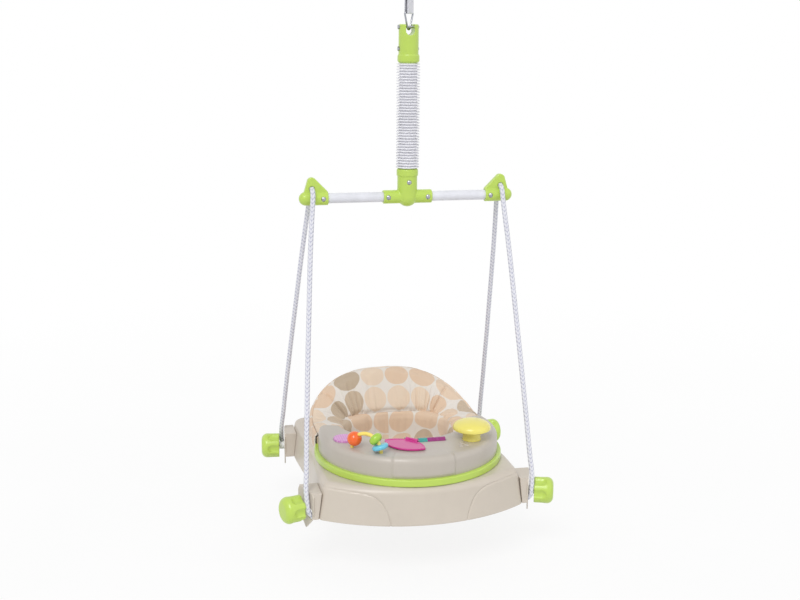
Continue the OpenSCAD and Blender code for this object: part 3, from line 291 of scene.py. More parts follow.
def helix(name: str, span: Pair, centre: Pair, radius: float, wire: float,
          turns: int, samples: int) -> Piece:
    """An upright coil of round wire.

    Args:
        name: the piece's name.
        span: its lowest and highest height.
        centre: X and Y of its middle line.
        radius: of the wire's middle line.
        wire: the wire's own radius.
        turns: number of turns.
        samples: points along one turn.
    Returns:
        The new object.
    """
    t = np.linspace(0, 1, turns * samples + 1)
    a = 2 * math.pi * turns * t
    z = span[0] + wire + (span[1] - span[0] - 2 * wire) * t
    path = np.stack([centre[0] + radius * np.cos(a), centre[1] + radius * np.sin(a), z], 1)
    return plain_tube(name, path, wire, 8)


def prism(name: str, near: Sequence[Point], far: Sequence[Point], uv: Optional[Array] = None
          ) -> Piece:
    """A closed block between two outlines of as many points."""
    n = len(near)
    faces = [tuple(range(n)), tuple(range(2 * n - 1, n - 1, -1))]
    faces += [(i, (i + 1) % n, (i + 1) % n + n, i + n) for i in range(n)]
    obj = make_mesh(name, np.vstack([near, far]), faces, uv)
    face_out(obj)
    return obj


def thicken(obj: Piece, thickness: float, sharp: float) -> None:
    """Gives a drawn sheet its thickness, half to each side."""
    thick = obj.modifiers.new("thick", "SOLIDIFY")
    thick.thickness = thickness
    thick.offset = 0.0
    apply_modifiers(obj, sharp)


def tube_uv(obj: Piece, sides: int, pitch: float, height: float) -> None:
    """Cloth places for a tube: one pitch for each ring, at one height of the print."""
    layer = obj.data.uv_layers.new(name="cloth")
    for loop in obj.data.loops:
        layer.data[loop.index].uv = ((loop.vertex_index // sides) * pitch, height)


def spin(line: Sequence[Pair], segments: int, centre: Point = (0, 0, 0)) -> Array:
    """Rings of points from (radius, height) pairs spun about an upright line through the centre."""
    turn = full_turn(segments)
    rings = [np.stack([r * np.cos(turn), r * np.sin(turn), np.full_like(turn, z)], 1) for r, z in line]
    return np.vstack(rings) + np.array(centre)


def lathe(name: str, profile: Sequence[Pair], centre: Point, segments: int = 96) -> Piece:
    """A closed turned form about an upright line.

    Args:
        name: the piece's name.
        profile: (radius, height) pairs, starting and ending on the line.
        centre: the point that heights are counted from.
        segments: points round the form.
    Returns:
        The new object.
    """
    body = [p for p in profile if p[0] > 1e-9]
    tips = np.array([[0, 0, profile[0][1]], [0, 0, profile[-1][1]]]) + np.array(centre)
    points = np.vstack([spin(body, segments, centre), tips])
    faces = grid_faces(len(body), segments, close_cols=True)
    low, high, last = len(points) - 2, len(points) - 1, (len(body) - 1) * segments
    for i in range(segments):
        k = (i + 1) % segments
        faces += [(low, k, i), (high, last + i, last + k)]
    return make_mesh(name, points, faces)


# Finishes


class Sheet:
    """Lays out the nodes of one surface."""

    def __init__(self, name: str, kind: Optional[bpy.types.bpy_prop_collection] = None) -> None:
        """Starts a material, or another block with nodes."""
        self.material = (bpy.data.materials if kind is None else kind).new(name)
        self.material.use_nodes = True
        self.tree = self.material.node_tree
        self.surface = self.tree.nodes.get("Principled BSDF")
        self.place = self.tree.nodes.new("ShaderNodeTexCoord")

    def add(self, kind: str, inputs: Optional[dict[str | int, object]] = None, **settings: object
            ) -> bpy.types.Node:
        """Adds a node.

        Args:
            kind: Blender's name of the node.
            inputs: values or output sockets by input.
            settings: attributes of the node.
        Returns:
            The node.
        """
        node = self.tree.nodes.new(kind)
        for key, value in settings.items():
            setattr(node, key, value)
        for key, value in (inputs or {}).items():
            if isinstance(value, Socket):
                self.tree.links.new(value, node.inputs[key])
            else:
                node.inputs[key].default_value = value
        return node

    def math(self, kind: str, a: object, b: object = 0.0) -> Socket:
        """One step of arithmetic on numbers or sockets."""
        return self.add("ShaderNodeMath", {0: a, 1: b}, operation=kind).outputs[0]

    def vector(self, kind: str, a: object, b: Optional[object] = None, scale: Optional[float] = None
               ) -> Socket:
        """One step of vector arithmetic."""
        given = {k: v for k, v in ((0, a), (1, b), ("Scale", scale)) if v is not None}
        node = self.add("ShaderNodeVectorMath", given, operation=kind)
        return node.outputs["Value" if kind == "LENGTH" else 0]

    def step(self, value: Socket, low: float, high: float) -> Socket:
        """Rise from 0 at low to 1 at high."""
        inputs = {"Value": value, "From Min": low, "From Max": high}
        return self.add("ShaderNodeMapRange", inputs).outputs["Result"]

    def waves(self, where: Socket, axis: str, scale: float, distortion: float, **more: float
              ) -> Socket:
        """Bands across one axis."""
        inputs = {"Vector": where, "Scale": scale, "Distortion": distortion,
                  **{key.replace("_", " "): value for key, value in more.items()}}
        return self.add("ShaderNodeTexWave", inputs, bands_direction=axis).outputs["Fac"]

    def grain(self, scale: float, detail: float = 4.0, where: str = "Object", stretch: Point = (1, 1, 1)
              ) -> Socket:
        """Fine uneven grain from 0 to 1 at a scale per metre."""
        spread = self.vector("MULTIPLY", self.place.outputs[where], stretch)
        inputs = {"Vector": spread, "Scale": scale, "Detail": detail}
        return self.add("ShaderNodeTexNoise", inputs).outputs["Fac"]

    def ramp(self, fac: Socket, stops: Sequence[tuple[float, Colour]], steps: bool = False
             ) -> Socket:
        """Colours along a number."""
        node = self.add("ShaderNodeValToRGB", {"Fac": fac})
        node.color_ramp.interpolation = "CONSTANT" if steps else "LINEAR"
        marks = node.color_ramp.elements
        while len(marks) < len(stops):
            marks.new(0.5)
        for mark, (at, colour) in zip(marks, stops):
            mark.position = at
            mark.color = (*colour, 1)
        return node.outputs["Color"]

    def span(self, fac: Socket, low: float, high: float) -> Socket:
        """A number from 0 to 1 moved to another span."""
        return self.add("ShaderNodeMapRange", {"Value": fac, "To Min": low, "To Max": high}).outputs["Result"]

    def mix(self, fac: object, a: object, b: object) -> Socket:
        """Mix of two colours."""
        node = self.add("ShaderNodeMix", data_type="RGBA")
        sockets = {"Factor": fac, "A": a, "B": b}
        for key, value in sockets.items():
            kind = "VALUE" if key == "Factor" else "RGBA"
            target = next(s for s in node.inputs if s.name == key and s.type == kind)
            if isinstance(value, Socket):
                self.tree.links.new(value, target)
            else:
                target.default_value = value if key == "Factor" else (*value, 1)
        return next(s for s in node.outputs if s.type == "RGBA")

    def bump(self, height: Socket, depth: float, strength: float = 1.0) -> None:
        """Raises the surface by a height in metres, on top of earlier bumps."""
        node = self.add("ShaderNodeBump", {"Height": height, "Distance": depth, "Strength": strength})
        old = self.surface.inputs["Normal"]
        if old.is_linked:
            self.tree.links.new(old.links[0].from_socket, node.inputs["Normal"])
        self.tree.links.new(node.outputs["Normal"], old)

    def set(self, **values: object) -> None:
        """Sets or links inputs of the surface shader, with underscores for spaces."""
        for key, value in values.items():
            target = self.surface.inputs[key.replace("_", " ")]
            if isinstance(value, Socket):
                self.tree.links.new(value, target)
            else:
                target.default_value = value


def linear(red: int, green: int, blue: int) -> Colour:
    """A screen colour in 0 to 255 as light."""
    def one(v: float) -> float:
        """One channel as light."""
        v /= 255
        return v / 12.92 if v <= 0.04045 else ((v + 0.055) / 1.055) ** 2.4
    return one(red), one(green), one(blue)


def shade(colour: Colour, share: float) -> Colour:
    """A colour made darker or lighter by a share."""
    return tuple(min(1.0, c * share) for c in colour)


@dataclass(frozen=True)
class MouldedPlastic:
    """Moulded plastic with a fine skin, faint flow marks and handling wear."""

    name: str
    colour: Colour
    slot: str
    roughness: float = 0.34
    skin: float = 0.00004
    coat: float = 0.12

    def tint(self, s: Sheet, colour: Socket) -> Socket:
        """Returns: the colour that is shown, here the body's own."""
        return colour

    def build(self) -> bpy.types.Material:
        """Returns: the material."""
        s = Sheet(self.name)
        cloud = s.grain(9.0, 5.0)
        fine = s.grain(1400.0, 3.0)
        marks = s.grain(60.0, 6.0, stretch=(1, 1, 0.6))
        body = s.ramp(cloud, [(0.25, shade(self.colour, 0.94)), (0.75, shade(self.colour, 1.04))])
        worn = s.ramp(marks, [(0.3, shade(self.colour, 0.97)), (0.72, shade(self.colour, 1.02))])
        s.set(Base_Color=self.tint(s, s.mix(0.4, body, worn)),
              Roughness=s.span(marks, self.roughness - 0.05, self.roughness + 0.06),
              Coat_Weight=self.coat, Coat_Roughness=0.2)
        s.bump(fine, self.skin)
        s.bump(cloud, 0.0004)
        return s.material


@dataclass(frozen=True)
class BrightMetal:
    """Plated or painted metal with fine drawn lines."""

    name: str
    colour: Colour
    slot: str
    roughness: float = 0.2
    metallic: float = 1.0
    stretch: Point = (1, 1, 12)

    def build(self) -> bpy.types.Material:
        """Returns: the material."""
        s = Sheet(self.name)
        lines = s.grain(260.0, 5.0, stretch=self.stretch)
        spots = s.grain(40.0, 4.0)
        s.set(Base_Color=s.ramp(spots, [(0.3, shade(self.colour, 0.92)), (0.7, shade(self.colour, 1.03))]),
              Roughness=s.span(lines, self.roughness - 0.06, self.roughness + 0.1), Metallic=self.metallic)
        s.bump(lines, 0.00003)
        return s.material


@dataclass(frozen=True)
class WovenBand:
    """Narrow webbing with a ribbed weave and painted shade in its low threads."""

    name: str
    colour: Colour
    slot: str
    pitch: float = 0.0016

    def build(self) -> bpy.types.Material:
        """Returns: the material."""
        s = Sheet(self.name)
        where, scale = s.place.outputs["UV"], 0.314 / self.pitch
        rows = s.waves(where, "X", scale, 1.2, Detail=2.0, Detail_Scale=4.0)
        ribs = s.waves(where, "Y", scale, 0.6)
        weave = s.math("MULTIPLY", rows, ribs)
        # Painted shade: the low parts of the weave are coloured a fifth darker than the white webbing.
        s.set(Base_Color=s.ramp(weave, [(0.0, shade(self.colour, 0.8)), (0.6, self.colour)]), Roughness=0.8,
              Sheen_Weight=0.2, Sheen_Roughness=0.5)
        s.bump(weave, 0.0003)
        return s.material


@dataclass(frozen=True)
class Braid:
    """Braided cord with painted shade in the valleys between its strands."""

    name: str
    colour: Colour
    valley: Colour
    slot: str

    def build(self) -> bpy.types.Material:
        """Returns: the material."""
        s = Sheet(self.name)
        height = s.add("ShaderNodeVertexColor", layer_name="braid").outputs["Color"]
        fuzz = s.grain(2600.0, 4.0)
        # Painted shade: low strand heights take the darker bluish-grey valley colour and high ones the cord's
        # own white; the fine fuzz mixes in random flecks of that darker colour.
        tone = s.ramp(height, [(0.1, self.valley), (0.62, self.colour)])
        s.set(Base_Color=s.mix(s.math("MULTIPLY", fuzz, 0.22), tone, shade(self.valley, 0.9)), Roughness=0.72,
              Sheen_Weight=0.25, Sheen_Roughness=0.4)
        s.bump(fuzz, 0.0003)
        return s.material


@dataclass(frozen=True)
class DottedCloth:
    """Woven cloth with a print of large touching dots."""

    name: str
    ground: Colour
    dots: tuple[Colour, ...]
    slot: str
    cell: float = 0.060
    share: float = 0.485

    def build(self) -> bpy.types.Material:
        """Returns: the material."""
        s = Sheet(self.name)
        where = s.place.outputs["UV"]
        cells = s.vector("SCALE", where, scale=1 / self.cell)
        warp = s.add("ShaderNodeTexNoise", {"Vector": where, "Scale": 55.0, "Detail": 2.0}).outputs["Color"]
        warp = s.vector("MULTIPLY", s.vector("SUBTRACT", warp, (0.5, 0.5, 0.5)), (0.05, 0.05, 0.0))
        inside = s.vector("ADD", s.vector("SUBTRACT", s.vector("FRACTION", cells), (0.5, 0.5, 0.0)), warp)
        reach = s.vector("LENGTH", s.vector("MULTIPLY", inside, (1, 1, 0)))
        mask = s.step(reach, self.share, self.share - 0.02)
        key = s.add("ShaderNodeTexWhiteNoise", {"Vector": s.vector("FLOOR", cells)}, noise_dimensions="2D")
        stops = [(i / len(self.dots), c) for i, c in enumerate(self.dots)]
        paint = s.ramp(key.outputs["Value"], stops, steps=True)
        wash = s.grain(30.0, 5.0)
        weave = s.math("ADD", s.waves(where, "X", 260.0, 1.5), s.waves(where, "Y", 260.0, 1.5))
        print_colour = s.mix(mask, self.ground, paint)
        faded = s.mix(s.math("MULTIPLY", wash, 0.16), print_colour, shade(self.ground, 0.86))
        s.set(Base_Color=faded, Roughness=0.86, Sheen_Weight=0.18, Sheen_Roughness=0.5)
        s.bump(weave, 0.00012)
        s.bump(s.grain(160.0, 3.0), 0.0006)
        return s.material


@dataclass(frozen=True)
class TwoTonePlastic(MouldedPlastic):
    """Moulded plastic whose left part has another colour."""

    second: Colour = (0.03, 0.3, 0.28)
    split: float = 0.0
    blur: float = 0.0006

    def tint(self, s: Sheet, colour: Socket) -> Socket:
        """Returns: the second colour to the left of the split and the body's own to the right."""
        across = s.add("ShaderNodeSeparateXYZ", {0: s.place.outputs["Object"]}).outputs["X"]
        return s.mix(s.step(across, self.split, self.split + self.blur), self.second, colour)


@dataclass(frozen=True)
class StippledPlastic:
    """Moulded plastic with rows of small raised dots."""

    name: str
    colour: Colour
    slot: str
    dot: Colour
    pitch: float = 0.0052

    def build(self) -> bpy.types.Material:
        """Returns: the material."""
        s = Sheet(self.name)
        cells = s.vector("SCALE", s.place.outputs["Object"], scale=1 / self.pitch)
        part = s.vector("SUBTRACT", s.vector("FRACTION", cells), (0.5, 0.5, 0.5))
        mask = s.step(s.vector("LENGTH", s.vector("MULTIPLY", part, (1, 1, 0))), 0.36, 0.26)
        cloud = s.grain(14.0)
        body = s.ramp(cloud, [(0.3, shade(self.colour, 0.95)), (0.7, shade(self.colour, 1.04))])
        s.set(Base_Color=s.mix(mask, body, self.dot), Roughness=s.span(cloud, 0.26, 0.4), Coat_Weight=0.1)
        s.bump(mask, 0.0005)
        return s.material


class Finish(Enum):
    """Finishes of the jumper's surfaces."""

    LIME = MouldedPlastic("lime_moulding", linear(188, 216, 92), "lime_plastic", 0.3, 0.00003, 0.2)
    BEIGE = MouldedPlastic("beige_moulding", linear(206, 196, 183), "beige_plastic", 0.36, 0.00005, 0.15)
    TRAY = MouldedPlastic("tray_moulding", linear(190, 182, 172), "tray_plastic", 0.36, 0.00001, 0.12)
    BELLOWS = MouldedPlastic("bellows_sleeve", linear(240, 240, 245), "white_plastic", 0.5, 0.000001, 0.0)
    PAINT = BrightMetal("tube_paint", linear(228, 229, 236), "white_paint", 0.3, 0.0, (0.3, 6, 6))
    BOLT = BrightMetal("plated_bolts", linear(172, 174, 180), "screw_steel", 0.2)
    WIRE = BrightMetal("spring_wire", linear(170, 172, 176), "spring_steel", 0.34)
    WEBBING = WovenBand("strap_webbing", linear(242, 242, 249), "webbing")
    # The second colour is the painted shade of the valleys between the strands.
    ROPE = Braid("rope_braid", linear(238, 238, 244), linear(176, 178, 200), "rope")
    CLOTH = DottedCloth("dotted_cloth", linear(232, 225, 217),
                        (linear(228, 203, 178), linear(190, 170, 145), linear(232, 210, 186),
                         linear(200, 179, 154), linear(226, 197, 169)), "seat_fabric")
    SUNNY = MouldedPlastic("mushroom_plastic", linear(236, 224, 112), "yellow_plastic", 0.25, 0.00002, 0.3)
    ARCH = MouldedPlastic("arch_plastic", linear(246, 194, 44), "arch_plastic", 0.24, 0.00002, 0.3)
    ORANGE = MouldedPlastic("ball_plastic", linear(244, 104, 30), "orange_plastic", 0.22, 0.00002, 0.3)
    GREEN = MouldedPlastic("oval_plastic", linear(164, 206, 62), "green_plastic", 0.22, 0.00002, 0.3)
    BLUE = MouldedPlastic("disc_bead_plastic", linear(108, 198, 224), "blue_plastic", 0.22, 0.00002, 0.3)
    MAGENTA = MouldedPlastic("leaf_plastic", linear(206, 54, 142), "magenta_plastic", 0.24, 0.00002, 0.3)
    ROLLER = TwoTonePlastic("roller_plastic", linear(152, 44, 122), "purple_plastic", 0.26,
                            second=linear(58, 158, 152), split=0.022)
    LILAC = StippledPlastic("push_plastic", linear(214, 142, 208), "lilac_plastic", linear(232, 182, 226))

    def material(self) -> bpy.types.Material:
        """Returns: the finish's material, made once."""
        made = bpy.data.materials.get(self.value.name)
        return made or self.value.build()


@dataclass
class Assembly:
    """A group of pieces that are built and dressed together."""

    pieces: list[Piece] = field(default_factory=list, init=False)

    def place(self, obj: Piece, finish: Finish, body: str, *nodes: str, ride: bool = True
              ) -> Piece:
        """Gives a new piece its finish, its body and the solids that it stands for.

        Args:
            obj: the piece.
            finish: its surface.
            body: the body that it rides on.
            nodes: solids that it replaces.
            ride: false leaves the piece on no body, for pieces that span two bodies.
        Returns:
            The piece.
        """
        obj.data.materials.clear()
        obj.data.materials.append(finish.material())
        if ride:
            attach(obj, str(body.value if isinstance(body, Body) else body))
        if nodes:
            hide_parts(*nodes)
        self.pieces.append(obj)
        return obj

    def dress(self, finish: Finish, *nodes: str) -> None:
        """Gives solids that stay in view a finish."""
        for node in nodes:
            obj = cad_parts[node]
            if not obj.material_slots:
                obj.data.materials.append(None)
            for place in obj.material_slots:
                place.material = finish.material()

    def soften(self, node: str, finish: Finish, body: str, cell: float, rounds: int = 5) -> Piece:
        """A copy of a moulded solid with rounded edges.

        Args:
            node: the solid.
            finish: its surface.
            body: the body that it rides on.
            cell: spacing of the new points in metres.
            rounds: smoothing passes, which set how round the edges are.
        Returns:
            The rounded piece.
        """
        obj = bpy.data.objects.new(node + "_moulded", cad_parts[node].data.copy())
        bpy.context.scene.collection.objects.link(obj)
        remesh = obj.modifiers.new("even", "REMESH")
        remesh.mode = "VOXEL"
        remesh.voxel_size = cell
        soft = obj.modifiers.new("round", "SMOOTH")
        soft.factor = 0.5
        soft.iterations = rounds
        apply_modifiers(obj, 60)
        return self.place(obj, finish, body, node)

    def report(self) -> None:
        """Logs each piece of the group."""
        for obj in self.pieces:
            LOG.info("%s: %d points", obj.name, len(obj.data.vertices))


# Studio


@dataclass
class Studio:
    """Camera, light and floor."""

    azimuth: float = -12.905
    elevation: float = 13.634
    roll: float = 0.56
    distance: float = 2.752
    target: Point = (0.0, 0.0, -0.698)
    lens: float = 55.24
    shift: Pair = (-0.0075, 0.01225)
    surround: float = 0.56
    floor_half: float = 14.0

    def camera(self) -> None:
        """Sets the camera at the photograph's angle."""
        data = bpy.data.cameras.new("camera")
        cam = bpy.data.objects.new("camera", data)
        bpy.context.scene.collection.objects.link(cam)
        a, e = math.radians(self.azimuth), math.radians(self.elevation)
        back = Vector((math.sin(a) * math.cos(e), -math.cos(a) * math.cos(e), math.sin(e)))
        cam.location = Vector(self.target) + back * self.distance
        turn = (-back).to_track_quat("-Z", "Y").to_matrix()
        cam.rotation_euler = (turn @ Matrix.Rotation(math.radians(self.roll), 3, "Z")).to_euler()
        data.sensor_width = 36.0
        data.lens = self.lens
        data.shift_x, data.shift_y = self.shift
        data.clip_end = 60.0
        bpy.context.scene.camera = cam

    def light(self) -> None:
        """A soft key, a fill and an even surround."""
        scene = bpy.context.scene
        scene.view_settings.view_transform = "Standard"
        for name, energy, turn, spread in (("key", 1.35, (42, 6, -38), 28), ("fill", 0.35, (58, 0, 52), 60)):
            lamp = bpy.data.lights.new(name, "SUN")
            lamp.energy = energy
            lamp.angle = math.radians(spread)
            obj = bpy.data.objects.new(name, lamp)
            obj.rotation_euler = [math.radians(v) for v in turn]
            scene.collection.objects.link(obj)
        s = Sheet("surround", bpy.data.worlds)
        scene.world = s.material
        seen = s.add("ShaderNodeLightPath").outputs
        mirrored = s.math("MAXIMUM", seen["Is Glossy Ray"], seen["Is Transmission Ray"])
        shown = s.math("MAXIMUM", seen["Is Camera Ray"], mirrored)
        surround = s.tree.nodes["Background"].inputs
        s.tree.links.new(s.span(shown, self.surround, 1.0), surround["Strength"])
        surround["Color"].default_value = (1, 1, 1, 1)

    def floor(self) -> None:
        """A pale floor below the hanging jumper, which keeps its shadow."""
        corners = [(x * self.floor_half, y * self.floor_half, Height.FLOOR)
                   for x, y in ((-1, -1), (1, -1), (1, 1), (-1, 1))]
        obj = make_mesh("floor", np.array(corners), [(0, 1, 2, 3)])
        s = Sheet("pale_floor")
        pale = s.ramp(s.grain(3.0), [(0.3, (0.9, 0.9, 0.9)), (0.7, (0.94, 0.94, 0.94))])
        s.set(Base_Color=pale, Roughness=0.9)
        seen = s.add("ShaderNodeLightPath")
        glow = s.add("ShaderNodeEmission", {"Color": (1, 1, 1, 1), "Strength": 1.0})
        away = s.vector("LENGTH", s.place.outputs["Object"])
        clear = s.add("ShaderNodeMapRange", {"Value": away, "From Min": 1.5, "From Max": 2.8,
                                             "To Min": 0.86, "To Max": 1.0})
        shown = s.math("MAXIMUM", seen.outputs["Is Camera Ray"], seen.outputs["Is Glossy Ray"])
        share = s.math("MULTIPLY", shown, clear.outputs["Result"])
        both = s.add("ShaderNodeMixShader", {0: share, 1: s.surface.outputs[0], 2: glow.outputs[0]})
        s.tree.links.new(both.outputs[0], s.tree.nodes["Material Output"].inputs["Surface"])
        obj.data.materials.append(s.material)


# Ropes

ROPE_ROUTE: tuple[Point, ...] = (
    (0.2365, -0.168, -1.1045), (0.238, -0.1685, -1.103), (0.244, -0.1705, -1.0985), (0.2485, -0.172, -1.0925),
    (0.2505, -0.1725, -1.083), (0.253, -0.1655, -1.044), (0.2505, -0.156, -1.007), (0.247, -0.139, -0.941),
    (0.243, -0.123, -0.874), (0.239, -0.107, -0.807), (0.2345, -0.091, -0.740), (0.230, -0.0755, -0.673),
    (0.2255, -0.0595, -0.606), (0.2205, -0.043, -0.538), (0.215, -0.029, -0.478), (0.212, -0.0225, -0.445),
    (0.2112, -0.0205, -0.433), (0.211, -0.015, -0.4255), (0.211, -0.008, -0.4215), (0.211, 0.0, -0.420),
    (0.211, 0.008, -0.4215), (0.211, 0.015, -0.4255), (0.2112, 0.0205, -0.433), (0.212, 0.0235, -0.443),
    (0.215, 0.036, -0.477), (0.2205, 0.061, -0.542), (0.2255, 0.0865, -0.608), (0.230, 0.112, -0.674),
    (0.2345, 0.138, -0.741), (0.239, 0.1635, -0.807), (0.243, 0.1895, -0.874), (0.247, 0.215, -0.941),
    (0.2505, 0.2405, -1.007), (0.253, 0.255, -1.044), (0.251, 0.2695, -1.083), (0.2485, 0.2695, -1.0925),
    (0.244, 0.269, -1.0985), (0.238, 0.268, -1.103), (0.2365, 0.268, -1.1045))


@dataclass
class Ropes(Assembly):
    """Two braided ropes, each over one end of the crossbar."""

    radius: float = 0.0055
    columns: int = 6
    pitch: float = 0.0092
    step: float = 0.0018
    sides: int = 24
    slant: float = 0.7
    core: float = 0.9
    relief: float = 0.12
    knot_span: Pair = (-0.0035, 0.0075)
    knot_r: Pair = (0.0018, 0.0056)

    def braid(self, run: Array, turn: Array) -> Array:
        """Height of the braid's strands, from 0 in a valley to 1 on top."""
        column = turn / (2 * math.pi) * self.columns
        part = column - np.floor(column)
        lean = np.where(np.floor(column).astype(int) % 2 == 0, part, 1 - part)
        strand = np.abs(np.cos(math.pi * (run / self.pitch + self.slant * lean))) ** 0.8
        return strand * (0.45 + 0.55 * np.sin(math.pi * part) ** 0.6)

    def rope(self, side: Side) -> Piece:
        """One rope with its strands in the mesh.

        Args:
            side: which end of the crossbar it passes over.
        Returns:
            The rope.
        """
        name = side.word
        route = [(side.value * x, y, z) for x, y, z in ROPE_ROUTE]
        path = smooth_route(route, self.step)
        heights = []

        def radius(run: Array, turn: Array) -> Array:
            """Radius with the strands' relief."""
            heights.append(self.braid(run, turn))
            return self.radius * (self.core + self.relief * heights[-1])

        grid = tube_grid(path, self.sides, radius)
        obj = make_mesh(name + "_braided_rope", grid, tube_faces(len(path), self.sides), sharp=180)
        # The strand heights go into the braid attribute, and the rope's finish turns low heights into painted
        # shade.
        tone = obj.data.color_attributes.new("braid", "FLOAT_COLOR", "POINT")
        value = heights[0].ravel()
        tone.data.foreach_set("color", np.stack([value, value, value, np.ones_like(value)], 1).ravel())
        self.place(obj, Finish.ROPE, Body.CRADLE, name + "_rope")
        knots = [self.knot(f"{name}_{end}_rope_knot", path[i], path[j])
                 for end, i, j in (("front", 0, 4), ("rear", -1, -5))]
        return obj

    def knot(self, name: str, end: Array, inner: Array) -> Piece:
        """The sealed lump that stops a rope's end behind its plate."""
        rings, sides = 15, 18
        along = (inner - end) / np.linalg.norm(inner - end)
        path = end + along * np.linspace(*self.knot_span, rings)[:, None]
        tip, more = self.knot_r
        swell = tip + more * np.sqrt(np.clip(1 - (2 * np.linspace(0, 1, rings) - 1) ** 2, 0, 1))
        grid = tube_grid(path, sides, lambda s, a: swell[:, None] * (1 + 0.06 * np.sin(3 * a + 9 * s / 0.01)))
        obj = make_mesh(name, grid, tube_faces(rings, sides))
        obj.data.color_attributes.new("braid", "FLOAT_COLOR", "POINT").data.foreach_set(
            "color", [0.6, 0.6, 0.6, 1.0] * len(obj.data.vertices))
        return self.place(obj, Finish.ROPE, Body.CRADLE)

    def build(self) -> None:
        """Builds both ropes."""
        for side in Side:
            self.rope(side)


# Hanger and spring column


@dataclass
class Hanger(Assembly):
    """Webbing loop, wire link and eye plate."""

    turn: float = 40.0
    width: float = 0.027
    thick: float = 0.0016
    inner: float = 0.0028
    top: float = -0.0151
    foot: float = -0.0531
    corner: float = 0.0012
    stitch_rows: Pair = (-0.0225, -0.0265)
    stitch_half: float = 0.0105
    stitch_l: float = 0.0022
    thread: float = 0.00035

    def axes(self) -> tuple[Array, Array, Array]:
        """Directions across the strap's width, out of its face and up."""
        a = math.radians(self.turn)
        return (np.array([-math.sin(a), -math.cos(a), 0]), np.array([math.cos(a), -math.sin(a), 0]),
                np.array([0, 0, 1.0]))

    def strap(self) -> Piece:
        """The webbing loop with rounded folds and rolled edges."""
        along, out, up = self.axes()

        def loop(off: float) -> Array:
            """Rounded loop at a distance outside the inner faces."""
            r = self.corner + off
            w, z0, z1 = self.inner + off, self.foot + self.thick - off, self.top - self.thick + off
            pts = []
            corners = ((w - r, z1 - r), (-w + r, z1 - r), (-w + r, z0 + r), (w - r, z0 + r))
            for (cx, cz), t0 in zip(corners, (0, 90, 180, 270)):
                pts += arc(cx, cz, r, math.radians(t0), math.radians(t0 + 90), 7)
            fine = []
            for i, p in enumerate(pts):
                q = pts[(i + 1) % len(pts)]
                n = max(1, int(math.dist(p, q) / 0.003))
                fine += [(p[0] + (q[0] - p[0]) * k / n, p[1] + (q[1] - p[1]) * k / n) for k in range(n)]
            return np.array(fine)

        mid = loop(self.thick / 2)
        nxt, prv = np.roll(mid, -1, 0), np.roll(mid, 1, 0)
        normal = np.stack([(nxt - prv)[:, 1], -(nxt - prv)[:, 0]], 1)
        normal /= np.linalg.norm(normal, axis=1)[:, None]
        edge, flat = 0.0006, 0.003
        half, t = self.width / 2, self.thick / 2
        face = [(-half, -t + edge), (-half + edge, -t)]
        face += [(w, -t) for w in np.linspace(-half + flat, half - flat, 6)]
        face += [(half - edge, -t), (half, -t + edge)]
        section = face + [(-w, -o) for w, o in face]
        run = run_along(mid)
        pts, uv = [], []
        for (x, z), (nx, nz), s in zip(mid, normal, run):
            for w, o in section:
                pts.append((x + nx * o) * out + (z + nz * o) * up + w * along)
                uv.append((w, s))
        faces = grid_faces(len(mid), len(section), True, True)
        obj = make_mesh("webbing_loop", np.array(pts), faces, np.array(uv))
        face_out(obj)
        return self.place(obj, Finish.WEBBING, Body.HANGER, "hanging_strap")

    def stitches(self) -> None:
        """Two rows of stitches across the loop."""
        along, out, up = self.axes()
        share = np.linspace(0, 1, 7)[:, None]
        for face, sign in (("front", 1), ("rear", -1)):
            pts, faces = [], []
            for z in self.stitch_rows:
                for w in np.linspace(-self.stitch_half, self.stitch_half, 8):
                    rise = self.inner + self.thick - 0.0002 + 0.0007 * np.sin(math.pi * share)
                    path = out * sign * rise + along * (w + self.stitch_l * (share - 0.5)) + up * z
                    grid = tube_grid(path, 6, lambda s, t: np.full_like(s, self.thread))
                    faces += [tuple(i + len(pts) for i in f) for f in tube_faces(7, 6)]
                    pts += list(grid.reshape(-1, 3))
            obj = make_mesh(f"{face}_strap_stitches", np.array(pts), faces)
            self.place(obj, Finish.BELLOWS, Body.HANGER)

    def build(self) -> None:
        """Builds the hanger."""
        self.strap()
        self.stitches()
        self.dress(Finish.BOLT, "eye_plate", "strap_link")


